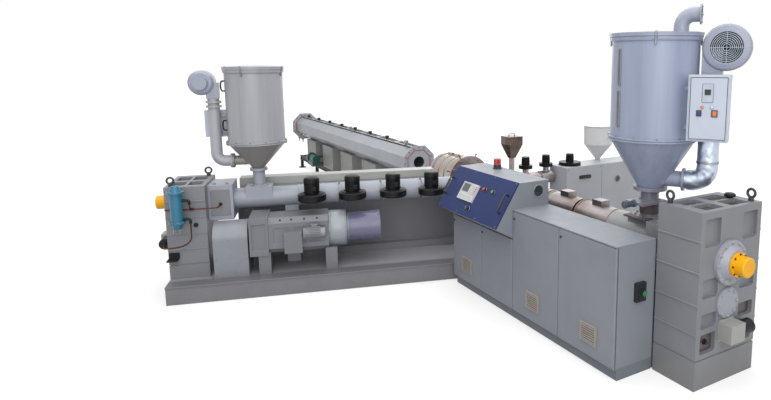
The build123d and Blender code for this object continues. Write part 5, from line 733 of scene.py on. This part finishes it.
door_out, door_right, door_face = -RIGHT, -AHEAD, -0.780
lock = [(-0.004, 0), (-0.004, 0.012), (0.004, 0.012), (0.007, 0.010), (0.007, 0.006), (0.003, 0.005),
        (0.003, 0)]
for body, y, z in (("cabinet_door_near", -2.439, 1.045), ("cabinet_door_far", -1.730, 1.045),
                   ("console_door_near", -1.139, 0.765), ("console_door_far", -0.541, 0.765)):
    wing = plate((door_face - 0.006, y, z), door_right, UP, 0.005, 0.016, 0.005, 0.002, 0.001)
    piece(f"{body}_lock", [lathe(lock, (door_face, y, z), door_out), wing], moulded_black, "control_plastic",
          body)
filter_z = 0.306
slat_rises = (filter_z + np.linspace(-0.060, 0.060, 7))[:, None] * UP
# The fleece behind the slats is darker than the slats: painted shadow between them.
filter_shade = moulded_plastic("filter_shadow_fleece", "#6c665f", "#78726a", roughness=0.9)
for name, body, y in (("cabinet_near", "cabinet_door_near", -2.821),
                      ("cabinet_far", "cabinet_door_far", -2.039),
                      ("console", "console_door_far", -0.819)):
    slat = plate((-0.7945, y, 0.0), door_right, UP, 0.148, 0.010, 0.005, 0.002, 0.002, 0.003)
    fleece = plate((-0.7935, y, filter_z), door_right, UP, 0.152, 0.140, 0.0015, 0.003, 0.0005)
    piece(f"{name}_filter_slats", [copies(slat, slat_rises)], filter_beige, "filter_plastic", body)
    piece(f"{name}_filter_fleece_shadow", [fleece], filter_shade, "filter_plastic", body)

vent = np.array([-0.469, -1.698, 1.280])
vent_rim = [(-0.002, 0.068), (0.006, 0.068), (0.009, 0.064), (0.009, 0.058), (0.004, 0.055), (-0.002, 0.055),
            (-0.002, 0.068)]
vent_bar = plate(vent - 0.002 * AHEAD, RIGHT, UP, 0.106, 0.007, 0.004, 0.002, 0.001, 0.003)
piece("console_vent", [lathe(vent_rim, vent, -AHEAD, 36)], cabinet_coat, "cabinet_paint")
piece("console_vent_bars", [copies(vent_bar, np.linspace(-0.030, 0.030, 5)[:, None] * UP)], face_grey,
      "filter_plastic")
piece("console_vent_mesh", [lathe(rod(-0.002, 0.0015, 0.056), vent, -AHEAD, 36)], face_black,
      "control_plastic")

slope_origin = np.array([-0.8325, -1.1065, 1.167])
slope_right, slope_up = -AHEAD, np.array([0.537, 0.0, 0.8436])
slope_out = np.cross(slope_right, slope_up)


def on_slope(across, upward, off):
    """Points of the operator panel: right, up its slope, and off its sheet, for numbers or arrays."""
    across, upward = (np.asarray(part, float)[..., None] for part in (across, upward))
    return slope_origin + across * slope_right + upward * slope_up + off * slope_out


display_glass = moulded_plastic("display_lcd_glass", "#3e4746", "#4a5450", roughness=0.12, coat=0.5)
key_grey = moulded_plastic("key_grey_silicone", "#b4b6b8", "#a2a4a8", roughness=0.5)
key_red = moulded_plastic("key_red_silicone", "#b8505a", "#9a4650", roughness=0.5)
screen = plate(on_slope(-0.1965, 0.038, 0.032), slope_right, slope_up, 0.120, 0.086, 0.003, 0.003, 0.0005)
display_front = 0.038
screen_centre = on_slope(-0.1865, 0.038, display_front)
screen_rim = hoop(screen_centre, slope_right, slope_up, 0.162, 0.104, 0.006, 0.004, 0.0015)
piece("display_screen", [screen], display_glass, "display_plastic")
piece("display_screen_rim", [screen_rim], key_grey, "display_plastic")
key = plate((0, 0, 0), slope_right, slope_up, 0.018, 0.012, 0.003, 0.003, 0.001, 0.001)
key_rows = (0.070, 0.048, 0.026, 0.004, -0.018)
number_keys = on_slope([[-0.080], [-0.054], [-0.028]], key_rows, display_front)
row_keys = on_slope(-0.1295 + np.linspace(-0.115, 0.115, 8)[:, None], [-0.052, -0.076], display_front)
red_keys = on_slope(-0.004, key_rows, display_front)
piece("display_keys", [copies(key, number_keys), copies(key, row_keys)], key_grey, "display_plastic")
piece("display_red_keys", [copies(key, red_keys)], key_red, "display_plastic")
cap = [(-0.004, 0), (-0.004, 0.0185), (0.005, 0.0185), (0.008, 0.014), (0.009, 0)]
collar = [(-0.002, 0.0285), (0.004, 0.0285), (0.006, 0.025), (-0.002, 0.0245), (-0.002, 0.0285)]
button_row, sheet_front = 0.0784, 0.016
key_switch = (0.0, -0.167)
collars_at = [key_switch]
for name, across, colour, grime in (("red", 0.1236, "#b81f24", "#96302e"),
                                    ("green", 0.2825, "#1f8a4c", "#2f7a4c")):
    acrylic = moulded_plastic(f"button_{name}_acrylic", colour, grime, roughness=0.2, coat=0.4)
    piece(f"{name}_button_cap", [lathe(cap, on_slope(across, button_row, 0.036), slope_out, 24)], acrylic,
          "control_plastic")
    collars_at.append((across, button_row))
bright_parts = [lathe(collar, on_slope(*spot, sheet_front), slope_out, 28) for spot in collars_at]
bright_parts += [plate(on_slope(*key_switch, 0.040), slope_right, slope_up, 0.006, 0.03, 0.02, 0.002, 0.001)]
panel_corners = on_slope([[-0.565], [-0.19], [0.19], [0.565]], [-0.235, 0.235], sheet_front)
piece("panel_bright_parts", bright_parts + screws(panel_corners, slope_out, 0.006), plated_steel,
      "control_plastic")
ridge = np.arange(16) * 0.008
sleeve = [(-0.004, 0.0085)] + [(run, 0.0132 if n % 2 else 0.0118) for n, run in enumerate(ridge)]
sleeve += [(ridge[-1] + 0.004, 0.0085), (-0.004, 0.0085)]
grip_sleeves = [lathe(sleeve, on_slope(across, -0.060, 0.062), slope_up) for across in (-0.5414, 0.5414)]
piece("panel_grip_sleeves", grip_sleeves, moulded_black, "control_plastic")
beacon = (-0.438, -0.907, 1.383)
beacon_foot = [(0, 0), (0, 0.050), (0.010, 0.050), (0.014, 0.0445), (0.048, 0.043), (0.048, 0)]
lens_rings = [(0.048 + 0.005 * n, 0.0400 if n % 2 else 0.0415) for n in range(13)]
beacon_lens = [(0.048, 0)] + lens_rings + [(0.114, 0.034), (0.119, 0.022), (0.121, 0)]
piece("beacon_foot", [lathe(beacon_foot, beacon, UP, 28)], moulded_black, "control_plastic")
piece("beacon_lens", [lathe(beacon_lens, beacon, UP, 32)], lens_red, "lamp_red")
switch_green = moulded_plastic("switch_pointer_green", "#2f8f4a", "#3f7a4c", roughness=0.3)
switch = np.array([-0.522, -3.1825, 0.720])
piece("switch_pointer", [lathe(rod(-0.003, 0.0, 0.021), switch, -AHEAD),
                         plate(switch + 0.0005 * AHEAD, RIGHT, UP, 0.011, 0.046, 0.006, 0.004, 0.001)],
      switch_green, "control_plastic")

# Die head and its stand.
# Turned tool steel, ground and then dulled and tinted by heat, on a welded column in the machine enamel.
# Band heaters clamp round the body; set screws stand out of the rim to centre the ring.
die_steel = brushed_steel("turned_die_steel", "#a9a5a8", "#a3908b", roughness=0.36)
dress(die_steel, "die_head")
dress(base_enamel, "die_stand")
die_bolts = (bolt_ring((0, -0.330, AXIS), -AHEAD, 0.163, 8, 0.013)
             + bolt_ring((0, 0.440, AXIS), -AHEAD, 0.275, 12, 0.015)
             + bolt_ring((0, 1.100, AXIS), AHEAD, 0.235, 12, 0.014))
set_screw = [(-0.010, 0), (-0.010, 0.009), (0.030, 0.009), (0.030, 0.013), (0.044, 0.013), (0.046, 0.009),
             (0.046, 0)]
rim_centre, rim_radius = np.array([0, 0.480, AXIS]), 0.305
for spoke in spokes(AHEAD, math.pi / 8 + turns(8)):
    die_bolts.append(lathe(set_screw, rim_centre + rim_radius * spoke, spoke, 10))
piece("die_bolts", die_bolts, plated_steel, "die_steel")
band_steel = brushed_steel("heater_band_steel", "#a8a29c", "#9c8674", roughness=0.34)
heater_bands = []
for y in (0.540, 0.705, 0.870):
    heater_bands.append(lathe(cuff(0, 0.140, 0.252, 0.263), (0, y, AXIS), AHEAD, 56))
    lug = plate((0, y + 0.070, 1.262), RIGHT, AHEAD, 0.016, 0.120, 0.030, 0.004, 0.002, 0.010)
    heater_bands.append(copies(lug, [-0.014 * RIGHT, 0.014 * RIGHT]))
piece("die_heater_bands", heater_bands, band_steel, "heater_steel")

# Vacuum tank: shell, lids, ends, trestles, rails and pump.
# Welded stainless plate under a grey enamel; pale lids lie on black rubber and are held by knobs on studs.
# Red rubber rings seal both ends, and the green pump stands under the tank.
dress(sprayed_enamel("tank_enamel", "#a8acb3", "#c6c9cc", roughness=0.4), "tank_shell", "tank_ends")
dress(sprayed_enamel("tank_trestle_enamel", "#8a8b88", "#b4b5b0", "#6a6662", roughness=0.45), "tank_trestles")
dress(sprayed_enamel("tank_lid_enamel", "#c4c7c9", "#e0e0e0", "#8a8780"), "tank_lids")
dress(sprayed_enamel("pump_enamel", "#1f4a44", "#5a7a74", "#3c3a38", roughness=0.4), "tank_pump")
rubber_black = moulded_plastic("seal_rubber", "#1c1c1c", "#2e2c2a", roughness=0.7)
rubber_red = moulded_plastic("silicone_seal_red", "#b0433c", "#8f4640", roughness=0.5)
dress(black_enamel, "tank_rails")
tank_near, lid_pitch, lid_gap, lid_half, seal_lip = 2.006, 0.78175, 0.060, 0.084, 0.036
lid_steps = (tank_near + lid_pitch * (np.arange(8) + 0.5))[:, None] * AHEAD
seal_wide, seal_long = 2 * lid_half + seal_lip, lid_pitch - lid_gap + seal_lip
seal = plate((0, 0, 1.225), RIGHT, AHEAD, seal_wide, seal_long, 0.014, 0.008)
lid_knob = lathe([(1.240, 0), (1.240, 0.024), (1.250, 0.020), (1.262, 0.020), (1.270, 0.034), (1.288, 0.036),
                  (1.298, 0.028), (1.300, 0)], (-0.020, 0, 0), UP, 18)
piece("tank_lid_seals_and_knobs", [copies(seal, lid_steps), copies(lid_knob, lid_steps)], rubber_black,
      "black_paint")
eighth = math.pi / 8
red_ring = cuff(0, 0.012, 0.2, 0.236 / math.cos(eighth))
face_ring = [(-0.002, 0.198), (-0.002, 0.214), (0.005, 0.211), (0.005, 0.201), (-0.002, 0.198)]
end_face = (0, 1.980, AXIS)
piece("tank_red_seals", [lathe(red_ring, (0, tank_near, AXIS), AHEAD, 8, eighth),
                         lathe(red_ring, (0, 8.248, AXIS), AHEAD, 8, eighth),
                         lathe(face_ring, end_face, -AHEAD, 8, eighth)], rubber_red, "tank_paint")
tank_trim = (bolt_ring(end_face, -AHEAD, 0.236, 16, 0.010, eighth)
             + bolt_ring((0, 8.260, AXIS), -AHEAD, 0.280, 16, 0.010, eighth))
stem = [(0, 0), (0, 0.006), (0.050, 0.006), (0.050, 0.012), (0.056, 0.012), (0.056, 0)]
dial = [(-0.014, 0), (-0.014, 0.034), (0.01, 0.034), (0.014, 0.031), (0.014, 0.029), (0.01, 0.028), (0.01, 0)]
for y in (2.16, 4.70, 7.90):
    tank_trim += [lathe(stem, (-0.130, y, 1.205), UP, 12), lathe(dial, (-0.130, y, 1.290), -AHEAD, 24)]
tap_x = -0.280
for y in (7.55, 7.85):
    bow = eased([(-0.195, y, 0.880), (tap_x, y, 0.880), (tap_x, y, 0.700)])
    tank_trim += [tube(bow, 0.013, AHEAD), lathe(rod(0, 0.04, 0.022), (tap_x, y, 0.76), UP, 8),
                  plate((-0.302, y, 0.780), -AHEAD, UP, 0.100, 0.014, 0.008, 0.005, 0.002)]
piece("tank_bolts_gauges_taps", tank_trim, plated_steel, "tank_paint")

# Stripe extruder with its hoppers.
# A closed powder coated housing with a bow handle and a round vent; a barrel with bright band heaters.
# One hopper is spun and white, the other is folded stainless; both have loose lids.
dress(sprayed_enamel("hopper_white_enamel", "#d6d8da", "#ececec", "#9a9690"),
      "stripe_hopper", "stripe_hopper_lid")
dress(brushed_steel("hopper_oiled_stainless", "#6e625c", "#43362f"), "steel_hopper", "steel_hopper_lid")
dress(sprayed_enamel("stripe_housing_coat", "#b2b5ba", "#d2d4d6", "#7a7774", roughness=0.45, dust_share=0.4),
      "stripe_cabinet")
dress(die_steel, "stripe_barrel")
stripe_front, bow_front, grip_z = -0.304, -0.330, 1.0
grip = np.array([1.394, stripe_front, grip_z])
bow = eased([(1.320, stripe_front, grip_z), (1.330, bow_front, grip_z), (1.458, bow_front, grip_z),
             (1.468, stripe_front, grip_z)])
piece("stripe_grip", [plate(grip, RIGHT, UP, 0.218, 0.052, 0.007, 0.025, 0.003),
                      hoop(grip - 0.006 * AHEAD, RIGHT, UP, 0.190, 0.034, 0.016, 0.006, 0.005),
                      tube(bow, 0.007)], moulded_black, "control_plastic")
small_vent = (1.996, stripe_front, 0.910)
small_rim = [(-0.002, 0.055), (0.005, 0.055), (0.007, 0.052), (0.007, 0.042), (-0.002, 0.04), (-0.002, 0.055)]
piece("stripe_vent_rim", [lathe(small_rim, small_vent, -AHEAD, 28)], plated_steel, "cabinet_paint")
piece("stripe_vent_mesh", [lathe(rod(-0.002, 0.002, 0.041), small_vent, -AHEAD, 28)], face_black,
      "control_plastic")
housing_screws = [(x, stripe_front, z) for x in (1.095, 1.670, 1.720, 2.452) for z in (0.06, 0.60, 1.12)]
piece("stripe_housing_screws", screws(housing_screws, -AHEAD, 0.008), plated_steel, "cabinet_paint")

# Studio: pale floor, white surround, soft lamps overhead, in front and behind, and the camera.
# The floor is painted board that keeps the line's shadow; to the camera and in gloss it is nearly white.
# The camera stands where a pinhole fit to the machine's square edges puts it.
WHITE = (1.0, 1.0, 1.0, 1.0)


def white_to_view(tree):
    """1 for rays from the camera, in gloss and through glass, else 0."""
    rays = add(tree, "LightPath").node.outputs
    seen = add(tree, "Math", {0: rays["Is Camera Ray"], 1: rays["Is Glossy Ray"]}, operation="MAXIMUM")
    return add(tree, "Math", {0: seen, 1: rays["Is Transmission Ray"]}, operation="MAXIMUM")


def soft_box(name, place, aim, width, power):
    """A square area lamp at a place, turned towards a point."""
    lamp = bpy.data.lights.new(name, "AREA")
    lamp.size = width
    lamp.energy = power
    holder = bpy.data.objects.new(name, lamp)
    bpy.context.collection.objects.link(holder)
    holder.visible_camera = False
    holder.location = place
    holder.rotation_mode = "QUATERNION"
    holder.rotation_quaternion = (Vector(aim) - Vector(place)).to_track_quat("-Z", "Y")


reach = 70.0
floor_mesh = bpy.data.meshes.new("studio_floor")
floor_mesh.from_pydata([(-reach, -reach, 0), (reach, -reach, 0), (reach, reach, 0), (-reach, reach, 0)], [],
                       [(0, 1, 2, 3)])
floor = bpy.data.objects.new("studio_floor", floor_mesh)
bpy.context.collection.objects.link(floor)
floor_paint, tree, shader, place = bare_material("studio_floor_paint")
speck = add(tree, "TexNoise", {"Vector": place, "Scale": 1.5, "Detail": 3.0})
board = add(tree, "MapRange", {"Value": speck, "To Min": 0.46, "To Max": 0.50})
far = add(tree, "VectorMath", {0: place}, operation="LENGTH")
glow = add(tree, "MapRange", {"Value": far, "From Min": 4.0, "From Max": 16.0, "To Min": 0.55})
shown = add(tree, "Math", {0: white_to_view(tree), 1: glow}, operation="MULTIPLY")
fill(shader, {"Base Color": board, "Roughness": 0.9, "Specular IOR Level": 0.1, "Emission Color": WHITE,
              "Emission Strength": shown})
floor_mesh.materials.append(floor_paint)

world = bpy.data.worlds.new("studio_surround")
bpy.context.scene.world = world
world.use_nodes = True
strength = add(world.node_tree, "MapRange", {"Value": white_to_view(world.node_tree), "To Min": 0.30})
fill(world.node_tree.nodes["Background"], {"Strength": strength, "Color": WHITE})

soft_box("overhead_softbox", (-1.5, -0.5, 9.0), (-1.0, 0.5, 0.0), 16.0, 1300.0)
soft_box("front_softbox", (-5.2, -9.8, 4.8), (-1.0, -1.0, 0.8), 8.0, 520.0)
soft_box("back_softbox", (7.0, 10.0, 6.0), (0.0, 1.0, 0.8), 8.0, 300.0)

photo_lens = bpy.data.cameras.new("photo_camera")
photo_lens.sensor_width = 36.0
photo_lens.lens = 28.02
photo_lens.shift_x = -0.12
photo_lens.shift_y = -0.065
photo_lens.clip_end = 300.0
camera = bpy.data.objects.new("photo_camera", photo_lens)
bpy.context.collection.objects.link(camera)
camera.location = (-4.058, -6.394, 2.574)
camera.rotation_mode = "XYZ"
camera.rotation_euler = (math.pi / 2 - math.radians(8.48), 0.003, -0.551)
bpy.context.scene.camera = camera
bpy.context.scene.view_settings.view_transform = "Standard"
